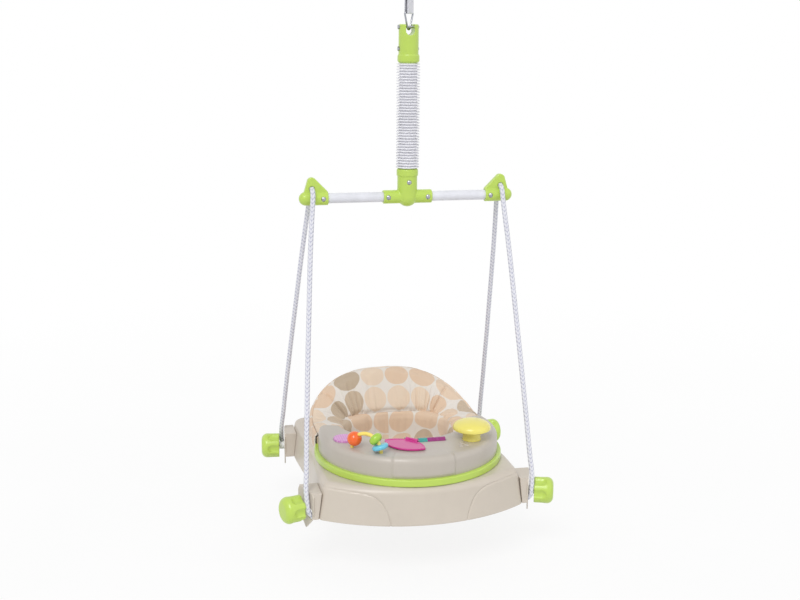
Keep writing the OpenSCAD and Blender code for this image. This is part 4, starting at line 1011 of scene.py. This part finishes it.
@dataclass
class SpringColumn(Assembly):
    """Bellows and spring between the lime cap and the tee."""

    ribs: int = 38
    tip: float = 0.0254
    root: float = 0.0188
    wall: float = 0.0009
    cuff: float = 0.0164
    segments: int = 104
    collar: float = 0.0095
    coil_r: float = 0.0122
    coil_wire: float = 0.0018

    def bellows(self) -> Piece:
        """The ribbed sleeve between the cap and the tee."""
        low, high = Height.TEE_TOP, Height.CAP_FOOT
        pitch = (high - low) / self.ribs
        phase = (0, 0.12, 0.2, 0.25, 0.29, 0.34, 0.42, 0.5, 0.58, 0.66, 0.71, 0.75, 0.8, 0.88)
        lift = (0, 0.02, 0.1, 0.35, 0.72, 0.93, 0.99, 1.0, 0.99, 0.93, 0.72, 0.35, 0.1, 0.02)
        outer = [(self.root + (self.tip - self.root) * h, low + (i + p) * pitch)
                 for i in range(self.ribs) for p, h in zip(phase, lift)] + [(self.root, high)]
        bore = self.cuff - self.wall
        top = [(self.cuff, high), (self.cuff, high + self.collar), (bore, high + self.collar)]
        foot = [(bore, low - self.collar), (self.cuff, low - self.collar), (self.cuff, low)]
        inner = [(max(r - self.wall, self.root - self.wall), z) for r, z in reversed(outer[::2])]
        line = outer + top + inner + foot
        faces = grid_faces(len(line), self.segments, True, True)
        obj = make_mesh("ribbed_bellows", spin(line, self.segments), faces, sharp=70)
        face_out(obj)
        self.place(obj, Finish.BELLOWS, Body.CAP, "bellows", ride=False)
        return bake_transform(obj)

    def coil(self) -> Piece:
        """The load spring inside the bellows."""
        low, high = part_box("spring")
        obj = helix("load_spring", (low.z, high.z), (0.0, 0.0), self.coil_r, self.coil_wire, turns=26,
                    samples=20)
        self.place(obj, Finish.WIRE, Body.CAP, "spring", ride=False)
        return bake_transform(obj)

    def build(self) -> None:
        """Builds the column."""
        self.bellows()
        self.coil()
        self.soften("spring_cap", Finish.LIME, Body.CAP, cell=0.0009, rounds=6)
        self.soften("tee_joint", Finish.LIME, Body.SPREADER, cell=0.0010, rounds=7)
        self.dress(Finish.BELLOWS, "upper_spring_plug", "lower_spring_plug")
        self.dress(Finish.BOLT, "cap_bolts", "tee_bolt")


@dataclass
class Spreader(Assembly):
    """Crossbar tube with its end caps and screws."""

    def build(self) -> None:
        """Dresses the crossbar."""
        self.dress(Finish.PAINT, "crossbar")
        self.dress(Finish.BOLT, "bar_screws")
        for side in Side:
            self.soften(side.word + "_end_cap", Finish.LIME, Body.SPREADER, cell=0.0009, rounds=7)


# Base


@dataclass
class Base(Assembly):
    """Moulded shell, corner brackets and knobs."""

    half_w: float = 0.228
    front: float = 0.256
    rear: float = 0.313
    front_r: float = 0.385
    rear_r: float = 0.760
    corner_r: float = 0.018
    waist: float = 0.008
    waist_y: Pair = (-0.116, 0.213)
    wall: float = 0.003
    shoulder: float = 0.016
    draft: float = 0.008
    groove_depth: float = 0.0022
    groove_width: float = 0.0017
    panel_end: float = 0.275

    def outline(self) -> Array:
        """Right half of the plan from the front middle to the rear middle, fine at the front."""
        cx = self.half_w - self.corner_r
        fy, ry = self.front_r - self.front, self.rear - self.rear_r
        c0 = (cx, fy - math.sqrt((self.front_r - self.corner_r) ** 2 - cx * cx))
        c1 = (cx, ry + math.sqrt((self.rear_r - self.corner_r) ** 2 - cx * cx))
        a0, a1 = math.atan2(c0[1] - fy, cx), math.atan2(c1[1] - ry, cx)
        y0, y1 = self.waist_y
        pts = arc(0, fy, self.front_r, -math.pi / 2, a0, 170)
        pts += arc(*c0, self.corner_r, a0, 0, 10)[1:]
        pts += [(self.half_w, y) for y in np.linspace(c0[1], y0, 18)[1:-1]]
        pts += [(self.half_w - self.waist * (1 - math.cos(2 * math.pi * s)) / 2, y0 + (y1 - y0) * s)
                for s in np.linspace(0, 1, 33)]
        pts += [(self.half_w, y) for y in np.linspace(y1, c1[1], 6)[1:-1]]
        pts += arc(*c1, self.corner_r, 0, a1, 8)
        pts += arc(0, ry, self.rear_r, a1, math.pi / 2, 26)[1:]
        return np.array(pts)

    def drop(self, xy: Array) -> Array:
        """How far the shoulder at the sides has fallen below the deck at plan points."""
        y0, y1 = self.waist_y
        s = np.clip((xy[..., 1] - y0) / (y1 - y0), 0, 1)
        edge = self.half_w - self.waist * (1 - np.cos(2 * math.pi * s)) / 2 - self.draft - self.shoulder
        over = np.clip(np.abs(xy[..., 0]) - edge, 0, 0.9 * self.shoulder)
        return self.shoulder - np.sqrt(self.shoulder ** 2 - over ** 2)

    def panel_line(self) -> Array:
        """Line of the corner panel's groove, as run from the front middle and height."""
        marks = [(0.0845, -1.109), (0.0875, -1.096), (0.094, -1.080), (0.1045, -1.062), (0.118, -1.0495),
                 (0.136, -1.042), (0.158, -1.039), (0.190, -1.0375), (0.225, -1.036),
                 (0.256, -1.036), (0.262, -1.0355)]
        return smooth_route([(t, z, 0.0) for t, z in marks], 0.002)[:, :2]

    def shell(self) -> Piece:
        """The shell with its rounded shoulder, seat opening and grooved corner panels."""
        half = self.outline()
        line = np.vstack([half, (half * [-1, 1])[-2:0:-1]])
        run = run_along(half)
        run = np.concatenate([run, run[-2:0:-1]])
        mid, length = (self.rear - self.front) / 2, (self.rear + self.front) / 2

        def ring(inset: float, z: float) -> Array:
            """Outline drawn in by an inset at a height."""
            scale = np.array([(self.half_w - inset) / self.half_w, (length - inset) / length])
            xy = (line - [0, mid]) * scale + [0, mid]
            return np.column_stack([xy, np.full(len(xy), z)])

        def opening(r: float, z: float) -> Array:
            """Round ring about the seat's middle."""
            d = line - [0, SEAT_Y]
            xy = r * d / np.linalg.norm(d, axis=1)[:, None] + [0, SEAT_Y]
            return np.column_stack([xy, np.full(len(xy), z)])

        base, deck, r = Height.BASE, Height.DECK, self.shoulder
        rings = [ring(0.0008, base), ring(0.0, base + NUDGE)]
        rings += [ring(self.draft * s, base + (deck - r - base) * s) for s in np.linspace(0.04, 1, 56)]
        rings += [ring(self.draft + r * (1 - math.cos(t)), deck - r + r * math.sin(t))
                  for t in np.linspace(0, math.pi / 2, 13)[1:]]
        outer = len(rings)
        rim, hole = rings[-1], opening(OPENING_R + 0.004, deck)
        rings += [rim + (hole - rim) * s for s in (0.12, 0.35, 0.6, 0.85, 1.0)]
        rings += [opening(OPENING_R + NUDGE, deck - NUDGE), opening(OPENING_R, deck - 0.003),
                  opening(OPENING_R, deck - 0.0042)]
        ri = r - self.wall
        under = deck - self.wall
        inner = [ring(self.wall + self.draft + ri * (1 - math.cos(t)), under - ri + ri * math.sin(t))
                 for t in np.linspace(math.pi / 2, 0, 7)]
        rings += [inner[0] + (opening(OPENING_R + 0.003, under) - inner[0]) * s for s in (1.0, 0.5)]
        rings += inner + [ring(self.wall, base + NUDGE), ring(self.wall - 0.0004, base)]
        panel = self.panel_line()
        for grid in rings[:outer]:
            flat = np.column_stack([run, grid[:, 2]])
            near = (run < self.panel_end) & (grid[:, 1] < 0)
            gap = np.full(len(run), 1.0)
            gap[near] = np.min(np.linalg.norm(flat[near][:, None] - panel[None], axis=2), axis=1)
            sink = self.groove_depth * np.exp(-(gap / self.groove_width) ** 2)
            inward = np.array([0, mid, Height.BASE + 0.03]) - grid
            inward /= np.linalg.norm(inward, axis=1)[:, None]
            grid += inward * sink[:, None]
        faces = grid_faces(len(rings), len(line), True, True)
        obj = make_mesh("base_moulding", np.vstack(rings), faces, sharp=50)
        face_out(obj)
        return self.place(obj, Finish.BEIGE, Body.CRADLE, "base_shell")

    def build(self) -> None:
        """Builds the base."""
        self.shell()
        for corner in ("front_left", "front_right", "rear_left", "rear_right"):
            self.soften(corner + "_bracket", Finish.BEIGE, Body.CRADLE, cell=0.0009, rounds=4)
            self.soften(corner + "_knob", Finish.LIME, corner + "_knob", cell=0.0011, rounds=8)
        self.dress(Finish.BOLT, "bracket_screws", "knob_bolts", "tray_screws")
        self.dress(Finish.BELLOWS, "knob_spacers")


# Tray


@dataclass
class Tray(Assembly):
    """Moulded toy tray with its green trim."""

    radius: float = 0.2026
    centre_y: float = -0.030
    edge_r: float = 0.014
    wall: float = 0.003
    inner_edge: float = 0.005
    past: float = 16.2
    brow: Pair = (-22.0, 17.0)
    brow_out: float = 0.0034
    brow_lift: float = 0.0022
    brow_soft: float = 1.3

    def inner_reach(self, turn: float) -> float:
        """Distance from the tray's middle to the seat opening along a turn from the front."""
        d = np.array([math.sin(turn), -math.cos(turn)])
        o = np.array([0, self.centre_y - SEAT_Y])
        b = o.dot(d)
        return -b + math.sqrt(b * b - (o.dot(o) - OPENING_R ** 2))

    def section(self, turn: float) -> Array:
        """Closed section of the tray's shell at a turn from the front, as reach and height."""
        deck, top = Height.DECK, Height.TRAY
        deg = math.degrees(turn)
        first, last = (smoothstep(side - self.brow_soft, side + self.brow_soft, deg) for side in self.brow)
        rise = float(first * (1 - last))
        near = self.inner_reach(turn) + 0.0002

        def outer(z: float) -> float:
            """Reach of the outer wall at a height, with the proud middle panel."""
            return self.radius + self.brow_out * rise * float(smoothstep(deck + 0.014, deck + 0.024, z))

        line = [(outer(z), z) for z in np.linspace(deck, top - self.edge_r, 16)]
        reach = outer(top)
        lift = self.brow_lift * rise
        flat = reach - self.edge_r
        line += [(flat + self.edge_r * math.cos(t), top - self.edge_r + (self.edge_r + lift) * math.sin(t))
                 for t in np.linspace(0, math.pi / 2, 10)[1:]]
        for s in (0.12, 0.26, 0.36, 0.46, 0.62, 0.8, 0.94):
            r = flat + (near + self.inner_edge - flat) * s
            line.append((r, top + lift * float(1 - smoothstep(0.1, 0.42, s))))
        e = self.inner_edge
        line += [(near + e - e * math.sin(t), top - e + e * math.cos(t))
                 for t in np.linspace(0, math.pi / 2, 6)]
        line += [(near, z) for z in np.linspace(top - e, deck, 5)[1:]]
        line += [(near + self.wall, deck), (near + self.wall, top - self.wall)]
        line += [(self.radius - self.edge_r, top - self.wall), (self.radius - self.wall, top - self.edge_r),
                 (self.radius - self.wall, deck)]
        return np.array(line)

    def shell(self) -> Piece:
        """The tray with wells for the push disc and the roller."""
        turns = np.radians(np.unique(np.concatenate([np.linspace(-90 - self.past, 90 + self.past, 180),
                                                     np.linspace(self.brow[0] - 2, self.brow[0] + 2, 15),
                                                     np.linspace(self.brow[1] - 2, self.brow[1] + 2, 15)])))
        rows = []
        for t in turns:
            r, z = self.section(t).T
            rows.append(np.column_stack([r * math.sin(t), self.centre_y - r * math.cos(t), z]))
        n = len(rows[0])
        faces = grid_faces(len(rows), n, close_cols=True)
        for first in (0, (len(rows) - 1) * n):
            faces.append(tuple(range(first, first + n)))
        obj = make_mesh("tray_moulding", np.vstack(rows), faces, sharp=38)
        face_out(obj)
        low, high, mid = node_box("push_disc")
        r, foot, over = (high.x - low.x) / 2 + 0.0005, -0.015, 0.02
        well = [(0, foot), (r, foot), (r, over), (0, over)]
        cutters = [lathe("disc_well", well, (mid.x, mid.y, Height.TRAY), 72)]
        low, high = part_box("roller")
        g, foot = 0.002, -0.018
        x0, y0, x1, y1 = low.x - g, low.y - g, high.x + g, high.y + g
        plan = ((x0, y0), (x1, y0), (x1, y1), (x0, y1))
        levels = ([(x, y, Height.TRAY + z) for x, y in plan] for z in (foot, over))
        cutters.append(prism("roller_well", *levels))
        for cutter in cutters:
            cut = obj.modifiers.new(cutter.name, "BOOLEAN")
            cut.operation = "DIFFERENCE"
            cut.solver = "EXACT"
            cut.object = cutter
        apply_modifiers(obj, 38)
        for cutter in cutters:
            bpy.data.objects.remove(cutter)
        return self.place(obj, Finish.TRAY, Body.CRADLE, "tray")

    def wells(self) -> None:
        """Cup under the push disc and trough under the roller."""
        low, high, mid = node_box("push_disc")
        r = (high.x - low.x) / 2 + 0.0006
        line = [(0, -0.0215), (r + 0.0014, -0.0215), (r + 0.0019, -0.021), (r + 0.0019, -0.003), (r, -0.003),
                (r, -0.0195), (0, -0.0195)]
        cup = lathe("disc_cup", line, (mid.x, mid.y, Height.TRAY), 72)
        self.place(cup, Finish.TRAY, Body.CRADLE)
        low, high, mid = node_box("roller")
        lx, ly = (high.x - low.x) / 2 + 0.0022, (high.y - low.y) / 2 + 0.0022
        t = 0.0015
        levels = [(lx + t, ly + t, -0.0025), (lx + t, ly + t, -0.018), (lx, ly, -0.0165), (lx, ly, -0.0025)]
        pts = [(mid.x + sx * a, mid.y + sy * b, Height.TRAY + z) for a, b, z in levels
               for sx, sy in ((-1, -1), (1, -1), (1, 1), (-1, 1))]
        faces = [(4, 5, 6, 7), (11, 10, 9, 8)] + [f for r, q in ((0, 1), (2, 3), (3, 0)) for f in
                 [(r * 4 + i, r * 4 + (i + 1) % 4, q * 4 + (i + 1) % 4, q * 4 + i) for i in range(4)]]
        trough = make_mesh("roller_trough", np.array(pts), faces)
        face_out(trough)
        bevel = trough.modifiers.new("soft", "BEVEL")
        bevel.width = 0.0004
        apply_modifiers(trough)
        self.place(trough, Finish.TRAY, Body.CRADLE)

    def ends(self) -> None:
        """Walls that close the tray's hollow at its two ends."""
        lap = 0.0006
        for side in Side:
            last = side.value * math.radians(90 + self.past - 0.05)
            spots = self.section(last)[-5:] + [(-lap, 0), (-lap, lap), (0, lap), (lap, lap), (lap, 0)]
            sides = [[(r * math.sin(t), self.centre_y - r * math.cos(t), z) for r, z in spots]
                     for t in (last, last - side.value * math.radians(0.9))]
            wall = prism(f"{side.word}_tray_end", *sides)
            self.place(wall, Finish.TRAY, Body.CRADLE)

    def dots(self) -> None:
        """Three low raised dots beside the mushroom."""
        mid = node_box("mushroom_cap")[2]
        r, rise = 0.006, 0.0025
        dome = [(r * math.cos(t), rise * math.sin(t)) for t in np.linspace(0, math.pi / 2, 9)[:-1]]
        for i, (x, y) in enumerate(((-0.033, -0.037), (-0.021, -0.033), (-0.028, -0.024))):
            dot = lathe(f"tray_dot_{i + 1}", [(0, -0.001), (r, -0.001)] + dome + [(0, rise)],
                        (mid.x + x, mid.y + y, Height.TRAY), 36)
            self.place(dot, Finish.TRAY, Body.CRADLE)

    def build(self) -> None:
        """Builds the tray."""
        self.shell()
        self.wells()
        self.ends()
        self.dots()
        self.dress(Finish.LIME, "trim_ring")


# Seat

BOWL_LINE = ((0.136, -1.056), (0.127, -1.090), (0.105, -1.124), (0.070, -1.142), (0.035, -1.1475))


@dataclass
class Seat(Assembly):
    """Padded backrest, its rear cover and the gathered sling."""

    half_w: float = 0.163
    reach: float = 0.178
    lean: float = 0.060
    thick: float = 0.026
    back_h: float = 0.1225
    end_h: float = 0.038
    foot: float = 0.0243
    power: float = 0.55
    low: float = 0.86
    touch: float = 0.84
    past: float = 0.064
    cloth_t: float = 0.0016
    cover_h: float = 0.143
    gather: float = 0.0062
    seam: Pair = (0.0046, 0.012)
    crease: float = 0.0052
    swell: float = 0.006
    frames: int = 20
    hole_r: float = 0.0465
    holes: tuple[Pair, ...] = ((0.068, 0.035), (-0.068, 0.035))

    def plan(self, s: Array, out: Array) -> Array:
        """Plan points at shares of the turn, moved out from the pad's middle line."""
        def base(t: Array) -> Array:
            """Points on the middle line."""
            a = np.radians(90 * np.clip(t, -1, 1))
            ahead = 0.25 * np.maximum(np.abs(t) - 1, 0)
            return np.stack([self.half_w * np.sign(np.sin(a)) * np.abs(np.sin(a)) ** self.power,
                             SEAT_Y + self.reach * np.clip(np.cos(a), 0, 1) ** self.power - ahead], -1)
        d = base(s + 0.025) - base(s - 0.025)
        n = np.stack([-d[..., 1], d[..., 0]], -1)
        n /= np.linalg.norm(n, axis=-1)[..., None]
        return base(s) + np.asarray(out)[..., None] * n

    def top(self, s: Array) -> Array:
        """Height of the backrest above the deck."""
        x = np.clip(np.abs(s) / self.low, 0, 1)
        return self.end_h + (self.back_h - self.end_h) * (1 - x ** 1.6) ** 1.4

    def pad(self) -> Piece:
        """The backrest pad: a crowned, leaning horseshoe that is blown up as cloth, then gathered."""
        cols, rows = 300, 48
        s = np.linspace(-1 - self.past, 1 + self.past, cols)
        run = run_along(self.plan(s, np.zeros(cols)))
        run -= run[-1] / 2
        ss, aa = np.meshgrid(s, full_turn(rows), indexing="ij")
        up = np.sign(np.sin(aa)) * np.abs(np.sin(aa)) ** 0.55
        side = np.sign(np.cos(aa)) * np.abs(np.cos(aa)) ** 0.75
        end = np.sqrt(np.clip(1 - np.clip((np.abs(ss) - 0.93 - self.past) / 0.07, 0, 1) ** 2, 0.04, 1))
        foot = self.foot - 0.02 * smoothstep(0.99, 1.05, np.abs(ss))
        h = self.top(ss) - foot
        fat = 0.38 * self.thick * end * (1 + 0.45 * (1 - smoothstep(-1.0, 0.1, up)))
        xy = self.plan(ss, self.lean * up / 2 + fat * side)
        z = Height.DECK + foot + h / 2 * (1 + up * (0.6 + 0.4 * end))
        pts = np.concatenate([xy, z[..., None]], -1)
        uv = np.stack([np.repeat(run[:, None], rows, 1), np.hypot(h, self.lean) / 2 * up + 0.012 * side], -1)
        obj = make_mesh("backrest_pad", pts, tube_faces(cols, rows), uv.reshape(-1, 2), sharp=180)
        face_out(obj)
        self.inflate(obj, self.swell)
        p = read_points(obj).reshape(cols, rows, 3)
        normal = np.array([v.normal[:] for v in obj.data.vertices]).reshape(cols, rows, 3)
        inner = smoothstep(0.15, 0.75, -np.cos(aa))
        low = 1 - smoothstep(-0.9, 0.55, up)
        waves = np.array([[0.7 * noise.noise((u * 95, v * 0.5, 3.1)) + 0.5 * noise.noise((u * 40, 1.7, 8.2))
                           for v in line] for u, line in zip(run.tolist(), up.tolist())])
        depth = self.gather * inner * (0.25 + 0.75 * low) * waves * end
        for mark in (-0.5, 0.0, 0.5):
            depth -= self.seam[0] * np.exp(-((ss - mark) / self.seam[1]) ** 2) * (0.35 + 0.65 * inner) * end
        chance = np.random.default_rng(7)
        for mark in np.cumsum(chance.uniform(0.009, 0.021, 62)) - 0.47:
            width, deep, tall = (chance.uniform(*span) for span in ((0.0016, 0.003), (0.3, 1.0), (-0.4, 0.9)))
            reach = 1 - smoothstep(tall - 0.6, tall, up)
            depth -= self.crease * deep * np.exp(-((run[:, None] - mark) / width) ** 2) * inner * reach * end
        p += normal * depth[..., None]
        write_points(obj, p.reshape(-1, 3))
        fine = obj.modifiers.new("fine", "SUBSURF")
        fine.levels = fine.render_levels = 1
        apply_modifiers(obj, 180)
        self.place(obj, Finish.CLOTH, Body.CRADLE, "seat_back")
        return obj

    def inflate(self, obj: Piece, cap: float) -> None:
        """Blows a closed cloth form up by simulation and keeps the result.

        Args:
            obj: the closed form.
            cap: the farthest that a point may move, in metres.
        """
        scene = bpy.context.scene
        start = read_points(obj)
        normal = np.array([v.normal[:] for v in obj.data.vertices])
        cloth = obj.modifiers.new("cloth", "CLOTH")
        settings = cloth.settings
        settings.quality = 5
        settings.mass = 0.25
        settings.use_pressure = True
        settings.uniform_pressure_force = 4.0
        settings.tension_stiffness = settings.compression_stiffness = 18
        settings.bending_stiffness = 0.6
        settings.effector_weights.gravity = 0.0
        cloth.collision_settings.use_collision = False
        cloth.point_cache.frame_start, cloth.point_cache.frame_end = 1, self.frames
        for f in range(1, self.frames + 1):
            scene.frame_set(f)
        graph = bpy.context.evaluated_depsgraph_get()
        done = obj.evaluated_get(graph).to_mesh()
        moved = np.empty(len(done.vertices) * 3)
        done.vertices.foreach_get("co", moved)
        move = moved.reshape(-1, 3) - start
        obj.evaluated_get(graph).to_mesh_clear()
        obj.modifiers.clear()
        scene.frame_set(1)
        swell = np.clip((move * normal).sum(1), 0, cap)
        LOG.info("%s swelled by %.1f mm at most", obj.name, 1000 * swell.max())
        write_points(obj, start + normal * swell[:, None])

    def piping(self) -> None:
        """The rolled edge between the pad and its rear cover."""
        count, sides = 300, 12
        s = np.linspace(-1.03, 1.03, count)
        xy = self.plan(s, np.full(count, self.lean / 2 + 0.006))
        path = np.column_stack([xy, Height.DECK + self.top(s) - 0.0035])
        obj = plain_tube("backrest_piping", path, 0.0028, sides)
        tube_uv(obj, sides, 0.0018, 0.02)
        self.place(obj, Finish.CLOTH, Body.CRADLE)

    def cover(self) -> Piece:
        """The cloth that is drawn over the stiffener at the rear."""
        cols, rows = 156, 26
        s = np.linspace(-1.071, 1.071, cols)
        out = self.touch * (self.lean + self.thick) / 2 + 0.0003 + 0.0025 + 0.0003 + self.cloth_t
        run = run_along(self.plan(s, np.full(cols, out)))
        v = np.linspace(0, 1, rows)
        ss, vv = np.meshgrid(s, v, indexing="ij")
        h = self.top(ss) - 0.001
        ripple = np.array([[noise.noise((u * 30, t * 2.2, 5.0)) for t in v.tolist()] for u in run.tolist()])
        push = out + 0.0012 * ripple - 0.0045 * smoothstep(0.88, 1.0, vv) ** 2
        xy = self.plan(ss, push)
        z = Height.DECK + 0.0005 + h * vv - Base().drop(xy) * (1 - vv) ** 2
        pts = np.concatenate([xy, z[..., None]], -1)
        uv = np.stack([np.repeat(run[:, None], rows, 1), h * vv], -1)
        obj = make_mesh("backrest_cover", pts, grid_faces(cols, rows), uv.reshape(-1, 2), sharp=180)
        thicken(obj, self.cloth_t, 70)
        self.place(obj, Finish.CLOTH, Body.CRADLE, "back_cover")
        return obj

    def gussets(self) -> None:
        """Cloth ends that close the room under the leaning pad beside the tray."""
        line = np.array([(0.2, 0.0008), (0.2, 0.0315), (0.1935, 0.0355), (0.13, 0.0045), (0.13, 0.0008)])
        for side in Side:
            faces = ([(side.value * x, y, Height.DECK + z) for x, z in line] for y in (0.0274, 0.0286))
            obj = prism(f"{side.word}_cover_gusset", *faces, np.vstack([line, line]))
            self.place(obj, Finish.CLOTH, Body.CRADLE)

    def rear_line(self, turn: float, front: Array) -> Array:
        """Section of the bowl at the rear, which starts under the foot of the pad.

        Args:
            turn: turn from the rear about the seat's middle, in radians.
            front: section of the bowl at the front, as reach and height.
        Returns:
            Reach and height pairs, as many as at the front.
        """
        s = np.linspace(-1, 1, 181)
        foot = self.plan(s, np.full(len(s), -self.lean / 2)) - [0, SEAT_Y]
        side = (turn + math.pi) % (2 * math.pi) - math.pi
        rim = float(np.interp(side, np.arctan2(foot[:, 0], foot[:, 1]), np.hypot(foot[:, 0], foot[:, 1])))
        line = front.copy()
        line[:4, 1] = (-1.0008, -1.0014, -1.0040, -1.0160)
        line[:4, 0] = (rim + 0.004, rim - 0.002, min(rim - 0.007, 0.1440), min(rim - 0.011, 0.1390))
        line[4:6, 0] = np.minimum(front[4:6, 0], line[3, 0] - (0.004, 0.012))
        return line

    def sling(self) -> Piece:
        """The gathered bowl with two leg holes."""
        cols, rows = 240, 60
        a = np.linspace(0, 2 * math.pi, cols + 1)
        front = np.array([(0.1466, -1.0030), (0.1455, -1.0045), (0.1440, -1.012), (0.1405, -1.030),
                          *BOWL_LINE, (0.002, -1.148)])
        share = np.linspace(0, 1, rows)
        knots = np.linspace(0, 1, len(front))
        pts, uv = np.empty((cols + 1, rows, 3)), np.empty((cols + 1, rows, 2))
        for i, t in enumerate(a):
            back = float(smoothstep(-0.25, 0.2, math.cos(t)))
            line = front + (self.rear_line(t, front) - front) * back
            r, z = np.interp(share, knots, line[:, 0]), np.interp(share, knots, line[:, 1])
            r = np.convolve(np.pad(r, 3, mode="edge"), np.ones(7) / 7, "valid")
            x, y = math.sin(t), math.cos(t)
            fold = math.cos(16 * t + 1.1 * math.sin(3 * t)) * 0.55 + noise.noise((y * 9, x * 9, 2.0)) * 0.8
            fold += 0.5 * noise.noise((y * 24, x * 24, 4.0))
            r = r + 0.0030 * fold * np.sin(math.pi * np.clip(share * 1.25 + 0.04, 0, 1)) ** 0.7
            pts[i] = np.column_stack([r * x, SEAT_Y + r * y, z])
            uv[i] = np.column_stack([np.full(rows, 0.13 * t), run_along(np.column_stack([r, z]))])
        pts[-1] = pts[0]
        keep = []
        flat = pts.reshape(-1, 3)
        for f in grid_faces(cols + 1, rows):
            m = flat[list(f)].mean(0)
            away = min(math.hypot(m[0] - x, m[1] - y) for x, y in self.holes)
            if m[2] > -1.09 or away > self.hole_r + 0.001:
                keep.append(f)
        obj = make_mesh("seat_bowl", flat, keep, uv.reshape(-1, 2), sharp=180)
        self.trim_holes(obj)
        thicken(obj, 0.003, 120)
        self.place(obj, Finish.CLOTH, Body.CRADLE, "seat_sling")
        self.hems()
        return obj

    def trim_holes(self, obj: Piece) -> None:
        """Draws the cut edges of the leg holes to round lines and joins the bowl's meeting edge."""
        work = bmesh.new()
        work.from_mesh(obj.data)
        loose = [v for v in work.verts if not v.link_faces]
        bmesh.ops.delete(work, geom=loose, context="VERTS")
        bmesh.ops.remove_doubles(work, verts=work.verts, dist=0.00005)
        for v in work.verts:
            if v.is_boundary and v.co.z < -1.08:
                x, y = min(self.holes, key=lambda c: math.hypot(v.co.x - c[0], v.co.y - c[1]))
                d = math.hypot(v.co.x - x, v.co.y - y)
                if d < 0.06:
                    v.co.x, v.co.y = x + (v.co.x - x) * self.hole_r / d, y + (v.co.y - y) * self.hole_r / d
        work.to_mesh(obj.data)
        work.free()

    def hems(self) -> None:
        """Bound edges of the leg holes, lying on the bowl."""
        sides, count, reach = 10, 97, self.hole_r + 0.0003
        line = np.array([*BOWL_LINE, (0.0, -1.148)])
        for name, (x, y) in zip(("right", "left"), self.holes):
            px, py = np.array(arc(x, y, reach, 0, 2 * math.pi, count)).T
            r = np.hypot(px, py - SEAT_Y)
            z = np.interp(r, line[::-1, 0], line[::-1, 1])
            z = np.convolve(np.concatenate([z[-6:-1], z, z[1:6]]), np.ones(11) / 11, "valid")
            obj = plain_tube(f"{name}_leg_hem", np.column_stack([px, py, z]), 0.0032, sides)
            tube_uv(obj, sides, 0.003, 0.03)
            self.place(obj, Finish.CLOTH, Body.CRADLE)

    def build(self) -> None:
        """Builds the seat."""
        self.pad()
        self.piping()
        self.cover()
        self.gussets()
        self.sling()
        self.dress(Finish.BELLOWS, "seat_ring", "back_board")


# Toys


@dataclass
class Toys(Assembly):
    """The toys on the tray."""

    def mushroom(self) -> None:
        """A low domed cap on a waisted stem."""
        low, high, mid = node_box("mushroom_cap")
        r = (high.x - low.x) / 2
        h = high.z - low.z
        dome = [(r * math.sin(t), 0.36 * h + 0.64 * h * math.cos(t) ** 0.9) for t in np.linspace(0, 1.45, 24)]
        lip = [(r * (0.985 + 0.015 * math.cos(t)), 0.36 * h + 0.1 * h * math.sin(t))
               for t in np.linspace(0.5, -1.4, 8)]
        under = [(x * r, y * h) for x, y in ((0.95, 0.235), (0.86, 0.16), (0.74, 0.09), (0.62, 0.04),
                                             (0.52, 0.01), (0.5, 0.0))]
        profile = [(0, 0.0)] + under[::-1] + lip[::-1] + dome[::-1][1:] + [(0, h)]
        cap = lathe("mushroom_dome", profile, (mid.x, mid.y, low.z), 96)
        face_out(cap)
        self.place(cap, Finish.SUNNY, Body.MUSHROOM, "mushroom_cap")
        low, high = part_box("mushroom_stem")
        h = high.z - low.z
        r = (high.x - low.x) / 2
        bore = 0.00506
        shares = ((1, 0), (1, 0.02), (0.985, 0.08), (0.95, 0.3), (0.935, 0.55), (0.95, 0.8),
                  (0.99, 0.95), (0.99, 1))
        line = [(r * x, h * y) for x, y in shares] + [(bore, h), (bore, 0.0)]
        rings = spin(line, 72, (mid.x, mid.y, low.z))
        stem = make_mesh("mushroom_foot", rings, grid_faces(len(line), 72, True, True))
        face_out(stem)
        self.place(stem, Finish.SUNNY, Body.MUSHROOM, "mushroom_stem")

    def press_spring(self) -> Piece:
        """The light spring under the push disc."""
        low, high, mid = node_box("push_spring")
        wire = 0.001
        r = (high.x - low.x) / 2 - wire
        obj = helix("press_spring", (low.z, high.z), (mid.x, mid.y), r, wire, turns=4, samples=24)
        self.place(obj, Finish.WIRE, Body.CRADLE, "push_spring", ride=False)
        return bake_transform(obj)

    def build(self) -> None:
        """Builds and dresses the toys."""
        self.mushroom()
        self.press_spring()
        self.dress(Finish.BOLT, "mushroom_axle", "leaf_pin", "roller_axle")
        for finish, node in ((Finish.ARCH, "bead_arch"), (Finish.ORANGE, "orange_bead"),
                             (Finish.GREEN, "green_bead"), (Finish.BLUE, "blue_bead")):
            self.dress(finish, node)
        self.soften("leaf_flap", Finish.MAGENTA, "leaf", cell=0.0006, rounds=4)
        self.dress(Finish.ROLLER, "roller")
        self.soften("push_disc", Finish.LILAC, "push_disc", cell=0.0007, rounds=3)


def main() -> None:
    """Builds the studio and the jumper, piece by piece."""
    logging.basicConfig(level=logging.INFO, format="%(name)s %(message)s")
    studio = Studio()
    studio.camera()
    groups: list[Assembly] = [Ropes(), Hanger(), SpringColumn(), Spreader(), Base(), Tray(), Seat(), Toys()]
    for group in groups:
        group.build()
        group.report()
    studio.light()
    studio.floor()


if __name__ == "__main__":
    main()
